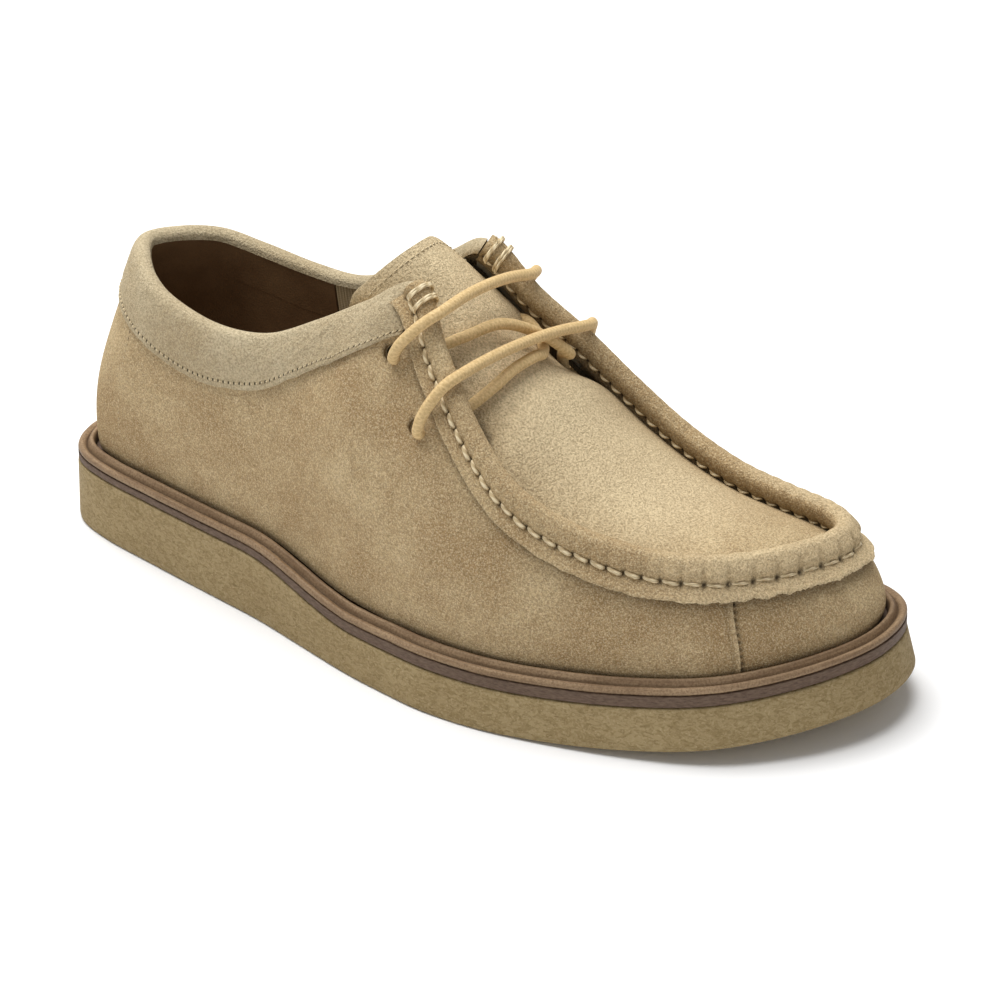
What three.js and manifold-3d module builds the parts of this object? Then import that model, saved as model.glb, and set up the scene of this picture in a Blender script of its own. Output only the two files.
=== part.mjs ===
// Laced moccasin shoe, right foot, as an assembly of its cut pieces.
// Frame: millimetres, +X from heel to toe, +Y to the medial (inner) side, +Z up, Z = 0 on the ground.
// The origin is under the centre of the shoe's box.
import * as THREE from 'three';
import { mergeVertices } from 'three/addons/utils/BufferGeometryUtils.js';
import Module from 'manifold-3d';

const wasm = await Module();
wasm.setup();

// ---------------------------------------------------------------- driving dimensions
const ORIGIN = [149.9, -3.35];         // plan point of the station table that becomes the origin
const GAP = 0.3;                   // clearance kept between two pieces that touch
const WELT_WIDTH = 7.5;            // sole edge outside the feather line
const SOLE_FLARE = [0.5, 3.5];     // extra width of the crepe at the ground, heel and toe
const HEEL_CREPE = 22.5;           // crepe thickness under the heel
const FORE_CREPE = 14.2;           // crepe thickness under the ball
const RAMP = [88, 143];            // where the crepe steps down from heel to forepart
const TOE_SPRING = 11;             // lift of the sole's front end
const SPRING_START = 190;          // the sole is flat on the ground behind this
const SPRING_END = 300;
const HEEL_MIDSOLE = 2.95;
const FORE_MIDSOLE = 4.4;
const SUEDE = 1.6;                 // upper leather
const STIFFENER = 1.2;             // counter, toe puff and eyelet stays
const LINING = 1.0;
const MARGIN = 9;                  // lasting margin turned under the insole
const BOARD = 2;                   // insole board
const FOOTBED = 4.4;
const HEM_WIDTH = 13;              // seam flange, crest to raw lip
const STITCH_DEPTH = 7.5;          // crest to the hand stitches
const COLLAR_DEPTH = 20;           // collar band, rim to its lower edge
const COLLAR_EDGE = 7;             // top edge of the quarters, hidden under the collar
const THREAD_RADIUS = 0.7;         // waxed hand-sewing thread
const FINE_THREAD_RADIUS = 0.45;
const LACE_RADIUS = 1.65;
const EYELET_RADIUS = 2.5;
const AGLET_RADIUS = 1.9;
const AGLET_LENGTH = 20;

// stations round the shoe on one closed loop: heel, lateral side, toe, medial side
const COUNT = 34;
const HEEL = 0;
const THROAT = 8;                  // top end of the seam, lateral; the medial one is COUNT - THROAT
const SLIT = 10.6;                 // where the tongue parts from the hem
const TOE_SEAM = 14.6;             // upright seam of the two quarters
const TOE = 17;

// every station: feather line x, y | top edge x, y, z | belly, and the wall's flare and backward rake at the top
const STATIONS = [
  [5, 1.5, 22, 3.5, 104, 3, 0.28, 0],
  [9.5, -11, 28.5, -8.5, 103.5, 3, 0.26, 0],
  [23, -17.5, 39.5, -18.5, 100.5, 3, 0.22, 0],
  [44, -22.5, 54, -24.5, 97, 2.5, 0.15, 0],
  [72, -28.5, 74, -28.5, 95, 2, 0.12, 0],
  [98, -34, 94, -29, 97.5, 2, 0.2, 0.05],
  [116, -39, 113, -27.5, 107, 2.5, 0.4, 0.2],
  [130, -43, 132, -25, 118, 3, 0.6, 0.45],
  [143, -46.5, 150, -23.5, 127.5, 3, 0.7, 0.7],
  [158, -49.5, 163, -30.5, 110.5, 3.5, 0.7, 0.6],
  [175, -52, 179, -38.5, 93, 4, 0.6, 0.5],
  [194, -51.5, 196, -43, 78, 4, 0.4, 0.35],
  [216, -47.5, 216, -40, 68, 3.5, 0.35, 0.2],
  [238, -41.5, 237.5, -32.5, 62.3, 3, 0.35, 0.1],
  [258, -33.5, 254.5, -24, 61, 3, 0.35, 0],
  [272, -22.5, 265.5, -12, 60.3, 3, 0.35, 0],
  [284.5, -7, 273, 1, 59.6, 3, 0.35, 0],
  [291.5, 9.5, 277.5, 13.5, 59, 3, 0.35, 0],
  [290, 26, 276, 25, 58, 3, 0.35, 0],
  [280, 36.5, 267, 31.5, 58, 3, 0.35, 0],
  [263.5, 41, 250.5, 34, 58.7, 3, 0.35, 0.05],
  [242, 43.5, 231.5, 36, 60.8, 3, 0.35, 0.1],
  [222, 45, 211, 38, 67.5, 3, 0.35, 0.2],
  [202, 45, 193, 36.5, 79.5, 3.5, 0.4, 0.35],
  [182, 42.5, 178, 31.5, 94, 3.5, 0.6, 0.5],
  [162, 39, 164, 23, 109.5, 3.5, 0.7, 0.6],
  [145, 36.5, 150, 17, 126.5, 3, 0.7, 0.7],
  [130, 34.5, 132, 22, 117, 3, 0.6, 0.45],
  [116, 33.5, 113, 25.5, 106, 2.5, 0.4, 0.2],
  [98, 33, 94, 28, 96.5, 2, 0.2, 0.05],
  [72, 32.5, 74, 29.5, 95.5, 2, 0.12, 0],
  [44, 30, 54, 28.5, 98.5, 2.5, 0.15, 0],
  [23, 25.5, 39.5, 24, 102.3, 3, 0.22, 0],
  [9, 14.5, 28.5, 14.5, 104, 3, 0.26, 0],
];

// middle line of the tongue from its root to its free end: x, y, z
const TONGUE_LINE = [
  [183.5, -3, 89.8], [178, -3, 93.8], [171, -3, 99.5], [163.5, -3, 107], [156.5, -3, 115], [149.5, -3, 123.5],
  [143, -3, 131.5],
];

// ---------------------------------------------------------------- small maths
const smooth = (x, a, b) => {
  const t = Math.min(Math.max((x - a) / (b - a), 0), 1);
  return t * t * (3 - 2 * t);
};
const mix = (a, b, t) => a + (b - a) * t;
const mixPoint = (a, b, t) => a.map((value, k) => mix(value, b[k], t));
const range = (from, to, steps) => Array.from({ length: steps + 1 }, (_, i) => mix(from, to, i / steps));
// stations from one to another by half steps, so that every layer bends at the same places
const rows = (from, to) => {
  const first = Math.floor(from * 2 + 1.02);
  const last = Math.ceil(to * 2 - 1.02);
  return [from, ...range(first / 2, last / 2, last - first), to];
};

function catmull(p0, p1, p2, p3, t) {
  return 0.5 * (2 * p1 + (p2 - p0) * t + (2 * p0 - 5 * p1 + 4 * p2 - p3) * t * t
    + (3 * p1 - p0 - 3 * p2 + p3) * t * t * t);
}

function along(points, t) {
  const i = Math.min(Math.max(Math.floor(t), 0), points.length - 2);
  const f = t - i;
  const p1 = points[i];
  const p2 = points[i + 1];
  const p0 = points[i - 1] ?? p1.map((v, k) => 2 * v - p2[k]);
  const p3 = points[i + 2] ?? p2.map((v, k) => 2 * v - p1[k]);
  return p1.map((_, k) => catmull(p0[k], p1[k], p2[k], p3[k], f));
}

function station(u) {
  const w = ((u % COUNT) + COUNT) % COUNT;
  const i = Math.floor(w);
  const at = (k) => STATIONS[(i + k + COUNT) % COUNT];
  return STATIONS[0].map((_, k) => catmull(at(-1)[k], at(0)[k], at(1)[k], at(2)[k], w - i));
}

// ---------------------------------------------------------------- heights of the sole layers
const zGround = (x) => TOE_SPRING * Math.max((x - SPRING_START) / (SPRING_END - SPRING_START), 0) ** 2;
const zCrepe = (x) => zGround(x) + mix(HEEL_CREPE, FORE_CREPE, smooth(x, RAMP[0], RAMP[1]));
const zMidsole = (x) => zCrepe(x) + mix(HEEL_MIDSOLE, FORE_MIDSOLE, smooth(x, 60, 180));

// ---------------------------------------------------------------- the wall of the upper
// unit vector in plan, out of the shoe, at station u
function outward(u) {
  const a = station(u - 0.02);
  const b = station(u + 0.02);
  const dx = b[0] - a[0];
  const dy = b[1] - a[1];
  const length = Math.hypot(dx, dy);
  return [dy / length, -dx / length];
}

// point of the feather line moved out by n, at height z(x)
function plan(u, n, z) {
  const s = station(u);
  const o = outward(u);
  const x = s[0] + o[0] * n;
  const y = s[1] + o[1] * n;
  return [x, y, z(x)];
}

// the wall's section is a cubic curve from the feather line (v = 0) to the top edge (v = 1)
function wallPoint(u, v) {
  const [fx, fy, tx, ty, tz, belly, flare, rake] = station(u);
  const o = outward(u);
  const fz = zMidsole(fx) + GAP;
  const height = tz - fz;
  const drop = 0.34 * height;
  const curve = [
    [fx, fy, fz],
    [fx + o[0] * belly, fy + o[1] * belly, fz + 0.42 * height],
    [tx + (o[0] * flare - rake) * drop, ty + o[1] * flare * drop, tz - drop],
    [tx, ty, tz],
  ];
  const w = 1 - v;
  const weights = [w * w * w, 3 * v * w * w, 3 * v * v * w, v * v * v];
  return [0, 1, 2].map((k) => weights.reduce((sum, weight, i) => sum + weight * curve[i][k], 0));
}

function wallNormal(u, v) {
  const du = new THREE.Vector3(...wallPoint(u + 0.01, v)).sub(new THREE.Vector3(...wallPoint(u - 0.01, v)));
  const low = Math.max(v - 0.01, 0);
  const high = Math.min(v + 0.01, 1);
  const dv = new THREE.Vector3(...wallPoint(u, high)).sub(new THREE.Vector3(...wallPoint(u, low)));
  return du.cross(dv).normalize();
}

const WALL_STEPS = 24;
const sections = new Map();
function section(u) {
  if (!sections.has(u)) {
    const depth = [0];
    let last = wallPoint(u, 1);
    for (let i = 1; i <= WALL_STEPS; i += 1) {
      const point = wallPoint(u, 1 - i / WALL_STEPS);
      depth.push(depth[i - 1] + Math.hypot(point[0] - last[0], point[1] - last[1], point[2] - last[2]));
      last = point;
    }
    sections.set(u, depth);
  }
  return sections.get(u);
}
const wallDepth = (u) => section(u)[WALL_STEPS];

// point at depth d under the top edge, measured along the wall, moved out by n
function skin(u, d, n) {
  const depth = section(u);
  let i = 0;
  while (i < WALL_STEPS - 1 && depth[i + 1] < d) i += 1;
  const v = 1 - (i + (d - depth[i]) / (depth[i + 1] - depth[i])) / WALL_STEPS;
  const normal = wallNormal(u, Math.min(v, 1));
  const base = wallPoint(u, Math.min(v, 1));
  if (d < 0) {
    const under = wallPoint(u, 1 - 1 / WALL_STEPS);
    const scale = -d / depth[1];
    base.forEach((value, k) => { base[k] = value + (value - under[k]) * scale; });
  }
  return [base[0] + normal.x * n, base[1] + normal.y * n, base[2] + normal.z * n];
}

// ---------------------------------------------------------------- solids from grids
// Two grids of points, a face and its back, become one closed shell. keep(i, j) leaves cells out.
// Rows or columns that meet again close on themselves.
function shell(face, back, keep = () => true) {
  const ids = new Map();
  const points = [];
  const idOf = (point) => {
    const key = point.map((value) => Math.round(value * 500)).join(',');
    if (!ids.has(key)) {
      ids.set(key, points.length);
      points.push(point);
    }
    return ids.get(key);
  };
  const front = face.map((row) => row.map(idOf));
  const rear = back.map((row) => row.map(idOf));
  const triangles = [];
  const edges = new Map();
  const add = (a, b, c) => {
    if (a !== b && b !== c && c !== a) triangles.push([a, b, c]);
  };
  for (let i = 0; i < face.length - 1; i += 1) {
    for (let j = 0; j < face[i].length - 1; j += 1) {
      if (!keep(i, j)) continue;
      const cell = [[i, j], [i + 1, j], [i + 1, j + 1], [i, j + 1]];
      const f = cell.map(([r, c]) => front[r][c]);
      const b = cell.map(([r, c]) => rear[r][c]);
      add(f[0], f[1], f[2]);
      add(f[0], f[2], f[3]);
      add(b[2], b[1], b[0]);
      add(b[3], b[2], b[0]);
      for (let k = 0; k < 4; k += 1) {
        const m = (k + 1) % 4;
        if (f[k] !== f[m]) edges.set(`${f[k]},${f[m]}`, [f[k], f[m], b[k], b[m]]);
      }
    }
  }
  for (const [f0, f1, b0, b1] of edges.values()) {
    if (edges.has(`${f1},${f0}`)) continue;
    add(f1, f0, b0);
    add(f1, b0, b1);
  }
  return solid(points, triangles);
}

function volumeOf(points, triangles) {
  let volume = 0;
  for (const [a, b, c] of triangles) {
    const [p, q, r] = [points[a], points[b], points[c]];
    volume += p[0] * (q[1] * r[2] - q[2] * r[1]) - p[1] * (q[0] * r[2] - q[2] * r[0])
      + p[2] * (q[0] * r[1] - q[1] * r[0]);
  }
  return volume / 6;
}

function solid(points, triangles) {
  const order = volumeOf(points, triangles) < 0 ? triangles.map(([a, b, c]) => [a, c, b]) : triangles;
  const geometry = new THREE.BufferGeometry();
  const positions = new Float32Array(points.flatMap(([x, y, z]) => [x - ORIGIN[0], y - ORIGIN[1], z]));
  geometry.setAttribute('position', new THREE.BufferAttribute(positions, 3));
  geometry.setIndex(order.flat());
  return geometry;
}

// a strip of the wall: face at n = outer, back at n = inner, depths from top(u) to bottom(u)
function wallStrip(us, top, bottom, steps, outer, inner) {
  const grid = (n) => us.map((u) => range(top(u), bottom(u), steps).map((d) => skin(u, d, n)));
  return shell(grid(outer), grid(inner));
}

// a flat layer between two heights, inside the feather line moved out by n
function slab(fromU, toU, columns, n, zTop, zLow, flare = () => 0) {
  const grid = (extra, z) => rows(fromU, toU).map((u) => {
    const lateral = plan(u, n + extra(u), z);
    const medial = plan(COUNT - u, n + extra(u), z);
    return range(0, 1, columns).map((t) => {
      const [x, y] = mixPoint(lateral, medial, t);
      return [x, y, z(x)];
    });
  });
  return shell(grid(() => 0, zTop), grid(flare, zLow));
}

// a round tube along a smooth line through the points
function tube(points, radius, steps, sides) {
  const curve = new THREE.CatmullRomCurve3(
    points.map(([x, y, z]) => new THREE.Vector3(x - ORIGIN[0], y - ORIGIN[1], z)), false, 'centripetal');
  const ring = new THREE.Shape(range(0, 1, sides).slice(0, -1).map((t) => {
    const angle = 2 * Math.PI * t;
    return new THREE.Vector2(radius * Math.cos(angle), radius * Math.sin(angle));
  }));
  return new THREE.ExtrudeGeometry(ring, { steps, extrudePath: curve });
}

// ---------------------------------------------------------------- boolean cuts
function toManifold(geometry) {
  const bare = new THREE.BufferGeometry();
  bare.setAttribute('position', geometry.getAttribute('position'));
  if (geometry.index) bare.setIndex(geometry.index);
  const merged = mergeVertices(bare, 1e-3);
  return new wasm.Manifold(new wasm.Mesh({
    numProp: 3,
    vertProperties: Float32Array.from(merged.getAttribute('position').array),
    triVerts: Uint32Array.from(merged.index.array),
  }));
}

function cut(geometry, ...tools) {
  let body = toManifold(geometry);
  for (const tool of tools) body = body.subtract(toManifold(tool));
  const mesh = body.getMesh();
  const result = new THREE.BufferGeometry();
  result.setAttribute('position', new THREE.BufferAttribute(mesh.vertProperties, 3));
  result.setIndex(new THREE.BufferAttribute(mesh.triVerts, 1));
  return result;
}

// a punch through the wall at station u, depth d
function punch(u, d, radius) {
  return tube([skin(u, d, 6), skin(u, d, -10)], radius, 1, 10);
}

// ---------------------------------------------------------------- colours
const finish = (color, roughness, metalness = 0) => new THREE.MeshStandardMaterial({ color, roughness, metalness });
const MATERIALS = {
  crepe: finish('#8f8158', 0.85),
  midsole: finish('#6b5240', 0.7),
  welt: finish('#93724f', 0.6),
  cork: finish('#b08a5c', 0.9),
  steel: finish('#8d9094', 0.35, 1),
  board: finish('#a58a66', 0.85),
  brownLeather: finish('#7a5c40', 0.6),
  suede: finish('#b69a6c', 0.95),
  paleSuede: finish('#baa37c', 0.95),
  textile: finish('#cbb892', 0.9),
  foam: finish('#d8cdb4', 0.95),
  stiffener: finish('#c9bda3', 0.8),
  thread: finish('#e2d8bd', 0.7),
  tanThread: finish('#b39b74', 0.8),
  lace: finish('#c2a269', 0.7),
  aglet: finish('#c7b078', 0.3),
};

const shoe = new THREE.Group();
function add(name, geometry, material) {
  const mesh = new THREE.Mesh(geometry, material);
  mesh.name = name;
  shoe.add(mesh);
}

// ---------------------------------------------------------------- sole and bottom layers
add('outsole_crepe', slab(HEEL, TOE, 3, WELT_WIDTH, (x) => zCrepe(x) - GAP, zGround,
  (u) => mix(SOLE_FLARE[0], SOLE_FLARE[1], smooth(u, 0, TOE))), MATERIALS.crepe);
add('midsole', slab(HEEL, TOE, 3, WELT_WIDTH, (x) => zMidsole(x) - GAP, zCrepe), MATERIALS.midsole);

// storm welt, a closed ring: outer ridge, groove and raised bead against the upper
const WELT_SECTION = [[6.9, 1.4], [6.2, 2], [4.7, 1.8], [4.2, 1.1], [3.5, 2.8], [2.5, 3.4], [1.6, 2.8]];
function weltRing() {
  const us = range(0, COUNT, 68);
  const top = us.map((u) => WELT_SECTION.map(([n, h]) => plan(u, n, (x) => zMidsole(x) + h)));
  const low = us.map((u) => WELT_SECTION.map(([n]) => plan(u, n, zMidsole)));
  return shell(top, low);
}
add('welt', weltRing(), MATERIALS.welt);

const FILLER_INSET = -MARGIN - 1;
const SHANK = { from: 55, to: 165, halfWidth: 7, y: 0, top: 1.5 };
function shankBar(grow) {
  const xs = range(SHANK.from - grow, SHANK.to + grow, 10);
  const w = SHANK.halfWidth + grow;
  const grid = (h) => xs.map((x) => [[x, SHANK.y - w, zMidsole(x) + h], [x, SHANK.y + w, zMidsole(x) + h]]);
  return shell(grid(SHANK.top + 4 * grow), grid(GAP - 4 * grow));
}
add('shank', shankBar(0), MATERIALS.steel);
add('cork_filler', cut(slab(1, TOE - 1, 3, FILLER_INSET, (x) => zMidsole(x) + 1.9,
  (x) => zMidsole(x) + GAP), shankBar(0.4)), MATERIALS.cork);
const BOARD_LOW = GAP + SUEDE + 2 * GAP;
const BOARD_TOP = BOARD_LOW + BOARD;
const BOARD_INSET = -(SUEDE + STIFFENER + LINING + 4 * GAP);
add('insole_board', slab(HEEL, TOE, 3, BOARD_INSET, (x) => zMidsole(x) + BOARD_TOP,
  (x) => zMidsole(x) + BOARD_LOW), MATERIALS.board);
const BED_LOW = BOARD_TOP + GAP;
const BED_TOP = BED_LOW + FOOTBED;
add('footbed', slab(HEEL, TOE, 3, BOARD_INSET - 0.7, (x) => zMidsole(x) + BED_TOP,
  (x) => zMidsole(x) + BED_LOW), MATERIALS.brownLeather);

// ---------------------------------------------------------------- quarters
const SEAM_EDGE = 0.012;           // half the gap of a seam, in stations
const quarterTop = (u) => {
  const fromHeel = Math.min(u, COUNT - u);
  return mix(COLLAR_EDGE, 2, smooth(fromHeel, THROAT - 0.35, THROAT + 0.1));
};
function quarter(from, to) {
  const us = rows(from, to);
  const margins = [MARGIN, MARGIN / 2];
  const steps = 8;
  const grid = (n, lift, turn) => us.map((u) => [
    ...margins.map((inset) => plan(u, -inset, (x) => zMidsole(x) + GAP + lift)),
    plan(u, -turn, (x) => zMidsole(x) + GAP + lift),
    ...range(wallDepth(u) * 0.94, quarterTop(u), steps).map((d) => skin(u, d, n)),
  ]);
  return shell(grid(0, 0, 0), grid(-SUEDE, SUEDE, SUEDE));
}
// station and depth of the eyelets, upper and lower; the medial ones sit a little further forward
const LATERAL_EYELETS = [[8.55, 18.7], [9.45, 19.5]];
const MEDIAL_EYELETS = [[COUNT - 8.7, 18.7], [COUNT - 9.9, 19.5]];
const eyeletPunches = (eyelets) => eyelets.map(([u, d]) => punch(u, d, EYELET_RADIUS));
add('quarter_lateral', cut(quarter(HEEL + SEAM_EDGE, TOE_SEAM - SEAM_EDGE), ...eyeletPunches(LATERAL_EYELETS)),
  MATERIALS.suede);
add('quarter_medial', cut(quarter(TOE_SEAM + SEAM_EDGE, COUNT - SEAM_EDGE), ...eyeletPunches(MEDIAL_EYELETS)),
  MATERIALS.suede);

// ---------------------------------------------------------------- stiffeners behind the quarters
const STIFF_OUT = -(SUEDE + 1.3 * GAP);
const STIFF_IN = STIFF_OUT - STIFFENER;
const stripBottom = (u) => wallDepth(u) - BOARD_LOW - 0.4;
add('heel_counter', wallStrip(rows(-4, 4), () => 26, stripBottom, 3, STIFF_OUT, STIFF_IN), MATERIALS.stiffener);
add('toe_puff', wallStrip(rows(13.5, 20.5), () => 16, stripBottom, 2, STIFF_OUT, STIFF_IN), MATERIALS.stiffener);
function eyeletStay(mirror) {
  const us = rows(THROAT, THROAT + 2).map((u) => (mirror ? COUNT - u : u));
  return cut(wallStrip(us, () => 12, () => 27, 3, STIFF_OUT, STIFF_IN), ...eyeletPunches(mirror ? MEDIAL_EYELETS : LATERAL_EYELETS));
}
add('eyelet_stay_lateral', eyeletStay(false), MATERIALS.stiffener);
add('eyelet_stay_medial', eyeletStay(true), MATERIALS.stiffener);

// ---------------------------------------------------------------- linings
const LINE_OUT = STIFF_IN - 1.5 * GAP;
const LINE_IN = LINE_OUT - LINING;
const COLLAR_LINING_END = 17;
const LINING_BREAK = 4.5;          // leather behind this station, textile in front of it
const COLLAR_LINE_OUT = -3.7;
add('collar_lining', wallStrip(rows(-LINING_BREAK, LINING_BREAK), () => 3.4, () => COLLAR_LINING_END, 2,
  COLLAR_LINE_OUT, COLLAR_LINE_OUT - LINING), MATERIALS.brownLeather);
add('counter_lining', wallStrip(rows(-LINING_BREAK, LINING_BREAK), () => COLLAR_LINING_END + GAP,
  stripBottom, 4, LINE_OUT, LINE_IN), MATERIALS.brownLeather);
const foreLiningTop = (u) => {
  const fromHeel = Math.min(u, COUNT - u);
  return mix(3.4, HEM_WIDTH + 2, smooth(fromHeel, THROAT - 0.9, THROAT - 0.1));
};
const foreLiningOut = COLLAR_LINE_OUT;
function foreLining(from, to) {
  return wallStrip(rows(from, to), foreLiningTop, stripBottom, 6, foreLiningOut, foreLiningOut - LINING);
}
add('lining_lateral', cut(foreLining(LINING_BREAK + 0.02, TOE_SEAM - SEAM_EDGE), ...eyeletPunches(LATERAL_EYELETS)),
  MATERIALS.textile);
add('lining_medial', cut(foreLining(TOE_SEAM + SEAM_EDGE, COUNT - LINING_BREAK - 0.02), ...eyeletPunches(MEDIAL_EYELETS)),
  MATERIALS.textile);

// ---------------------------------------------------------------- collar
const COLLAR_END = THROAT - 0.1;
const COLLAR_FACE = [[20, 1.3], [13, 1.6], [5, 1.3], [1.4, 0.5], [0, -1.8], [0.8, -4.2], [3, -5.2]];
const COLLAR_BACK = [[20, 0.3], [13, 0.3], [5, 0.2], [2.4, -0.7], [1.5, -1.9], [1.9, -3.3], [3, -3.9]];
// the band widens towards the throat
const collarWiden = (u) => mix(1, 1.27, smooth(Math.abs(u), 4.8, 7.3)) + mix(0, 0.2, smooth(Math.abs(u), 6.9, 7.7));
function profileShell(us, face, back, widen = () => 1) {
  const deep = (u, d) => (d > 5 ? d * widen(u) : d);
  const grid = (profile) => us.map((u) => profile.map(([d, n]) => skin(u, deep(u, d), n)));
  return shell(grid(face), grid(back));
}
const collarStations = rows(-COLLAR_END, COLLAR_END);
add('collar_band', profileShell(collarStations, COLLAR_FACE, COLLAR_BACK, collarWiden), MATERIALS.paleSuede);
const FOAM_FACE = [[3, -1], [5.7, -1.1], [6.5, -2.15], [17, -2.15]];
const FOAM_BACK = [[3, -3.35], [5.7, -3.35], [6.5, -3.35], [17, -3.35]];
add('collar_foam', profileShell(rows(-6.5, 6.5), FOAM_FACE, FOAM_BACK), MATERIALS.foam);

// ---------------------------------------------------------------- apron with its hem over the quarters' edge
// profile from the raw lip, up the outside, over the crest and down the inside
const HEM_FACE = [[13, 2.8], [10.5, 2.1], [7.5, 1.5], [4.8, 2.5], [2, 2.4], [-0.4, 1.2], [-1.2, -1.1],
  [-0.4, -3.4], [2, -4.6], [5, -4.7], [7.5, -4.4]];
const HEM_BACK = [[13, 1.2], [10.5, 0.6], [7.5, 0.3], [4.8, 0.9], [2, 0.8], [0.9, 0.2], [0.4, -1.1],
  [0.9, -2.3], [2, -3], [5, -3.1], [9.2, -3]];
// the flange is narrower beside the lacing than round the toe
const hemScale = (u) => mix(0.84, 1.05, smooth(Math.min(u, COUNT - u), 9, 13));
const PANEL_STEPS = 8;
// rise of the panel's middle over its edges, by station
const CROWNS = [[10.6, 13], [11.5, 11], [12.5, 9], [13.5, 7.5], [14.5, 6], [15.5, 2.5], [16.3, 0.8], [17, 0]];
function crown(u) {
  const i = Math.max(CROWNS.findIndex(([at]) => at >= u), 1);
  const [u0, c0] = CROWNS[i - 1];
  const [u1, c1] = CROWNS[i];
  return mix(c0, c1, Math.min(Math.max((u - u0) / (u1 - u0), 0), 1));
}

// a row of the apron: lateral hem, panel, medial hem
function apronRow(u, profile, thickness) {
  const hem = (line) => [u, COUNT - u].map((w) => line.map(([d, n]) => skin(w, d * hemScale(w), n)));
  const [lateral, medial] = hem(profile);
  const [[from], [to]] = hem([HEM_FACE.at(-1)]);
  const lift = crown(Math.max(u, SLIT));
  const panel = range(0, 1, PANEL_STEPS).map((t) => {
    const point = mixPoint(from, to, t);
    point[2] += lift * (1 - (2 * t - 1) ** 2) - thickness;
    return point;
  });
  return [...lateral, ...panel.slice(1, -1), ...medial.toReversed()];
}
const APRON_STATIONS = [THROAT - 0.02, 8.5, 9, 9.5, 10, SLIT, ...rows(11, TOE)];
function apron() {
  const hemCells = HEM_FACE.length - 1;
  const slitRow = APRON_STATIONS.indexOf(SLIT);
  const face = APRON_STATIONS.map((u) => apronRow(u, HEM_FACE, 0));
  const back = APRON_STATIONS.map((u) => apronRow(u, HEM_BACK, SUEDE));
  const columns = face[0].length;
  return shell(face, back, (i, j) => i >= slitRow || j < hemCells || j >= columns - 1 - hemCells);
}
add('apron', apron(), MATERIALS.suede);

// textile under the panel
function apronLining() {
  const grid = (below) => rows(SLIT + 0.4, TOE - 1.3).map((u) => {
    const row = apronRow(u, HEM_BACK, 0);
    const panel = row.slice(HEM_BACK.length, -HEM_BACK.length);
    return panel.map(([x, y, z]) => [x, y, z - below]);
  });
  return shell(grid(SUEDE + 2 * GAP), grid(SUEDE + 2 * GAP + LINING));
}
add('apron_lining', apronLining(), MATERIALS.textile);

// ---------------------------------------------------------------- tongue, hinged at the slit
const TONGUE_GAP = 0.4;
const TONGUE_ROWS = 10;
const TONGUE_COLUMNS = 8;
// point of the tongue: t from root (0) to free end (1), s across from -1 to 1, n along -Z
function tonguePoint(t, s, n) {
  const [x, y, z] = along(TONGUE_LINE, t * (TONGUE_LINE.length - 1));
  const halfWidth = mix(29, 17.5, smooth(t, 0, 0.9));
  const drop = mix(9.5, 12.5, smooth(t, 0, 0.4));
  const sweep = 15 * t * t;
  return [x - TONGUE_GAP - sweep * s * s - n * 0.6, y + halfWidth * s, z - drop * s * s - n * 0.8];
}
function tongueSheet(outer, inner, widthScale, endT) {
  const grid = (n) => range(0, endT, TONGUE_ROWS).map((t) => (
    range(-widthScale, widthScale, TONGUE_COLUMNS).map((s) => tonguePoint(t, s, n))));
  return shell(grid(outer), grid(inner));
}
add('tongue', tongueSheet(0, 1.8, 1, 1), MATERIALS.suede);
add('tongue_lining', tongueSheet(2.2, 3.1, 0.97, 0.98), MATERIALS.textile);

// ---------------------------------------------------------------- threads
const THREAD_SIDES = 5;
const seamStations = rows(THROAT + 0.15, COUNT - THROAT - 0.15);
const stitchLine = (n) => seamStations.map((u) => skin(u, STITCH_DEPTH * hemScale(u), n));
add('moc_thread_outer', tube(stitchLine(1.5 + THREAD_RADIUS + 0.25), THREAD_RADIUS, 64, THREAD_SIDES),
  MATERIALS.thread);
add('moc_thread_inner', tube(seamStations.map((u) => skin(u, 4 * hemScale(u), -4.7 - THREAD_RADIUS - 0.25)),
  THREAD_RADIUS, 64, THREAD_SIDES), MATERIALS.thread);
// loop of thread that wraps the flange at each end of the seam
const WRAP = [[6, 3.3], [2, 3.6], [-1.2, 2.4], [-2.5, -1], [-1.2, -4.6], [2, -5.9], [3.6, -5.9]];
const wrapLoop = (u) => tube(WRAP.map(([d, n]) => skin(u, d * hemScale(u), n)), THREAD_RADIUS, 12, THREAD_SIDES);
add('seam_wrap_lateral', wrapLoop(THROAT + 0.07), MATERIALS.thread);
add('seam_wrap_medial', wrapLoop(COUNT - THROAT - 0.07), MATERIALS.thread);

function stitchRow(name, points, steps, material) {
  add(name, tube(points, FINE_THREAD_RADIUS, steps, 5), material);
}
stitchRow('collar_thread', rows(-COLLAR_END + 0.1, COLLAR_END - 0.1).map((u) => (
  skin(u, (COLLAR_DEPTH - 2) * collarWiden(u), 1.5 + FINE_THREAD_RADIUS + 0.15))), 60, MATERIALS.tanThread);
const counterLine = (side) => range(0, 1, 6).map((t) => {
  const u = mix(1.8, 2.1, t);
  return skin(side > 0 ? u : COUNT - u, mix(22, 62, t), 0.15 + FINE_THREAD_RADIUS);
});
stitchRow('counter_thread_lateral', counterLine(1), 8, MATERIALS.tanThread);
stitchRow('counter_thread_medial', counterLine(-1), 8, MATERIALS.tanThread);
stitchRow('back_seam_thread', range(22, 66, 6).map((d) => skin(HEEL, d, 0.15 + FINE_THREAD_RADIUS)), 8,
  MATERIALS.tanThread);
stitchRow('toe_seam_thread', range(15, 32, 4).map((d) => skin(TOE_SEAM, d, 0.15 + FINE_THREAD_RADIUS)), 5,
  MATERIALS.tanThread);
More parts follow.
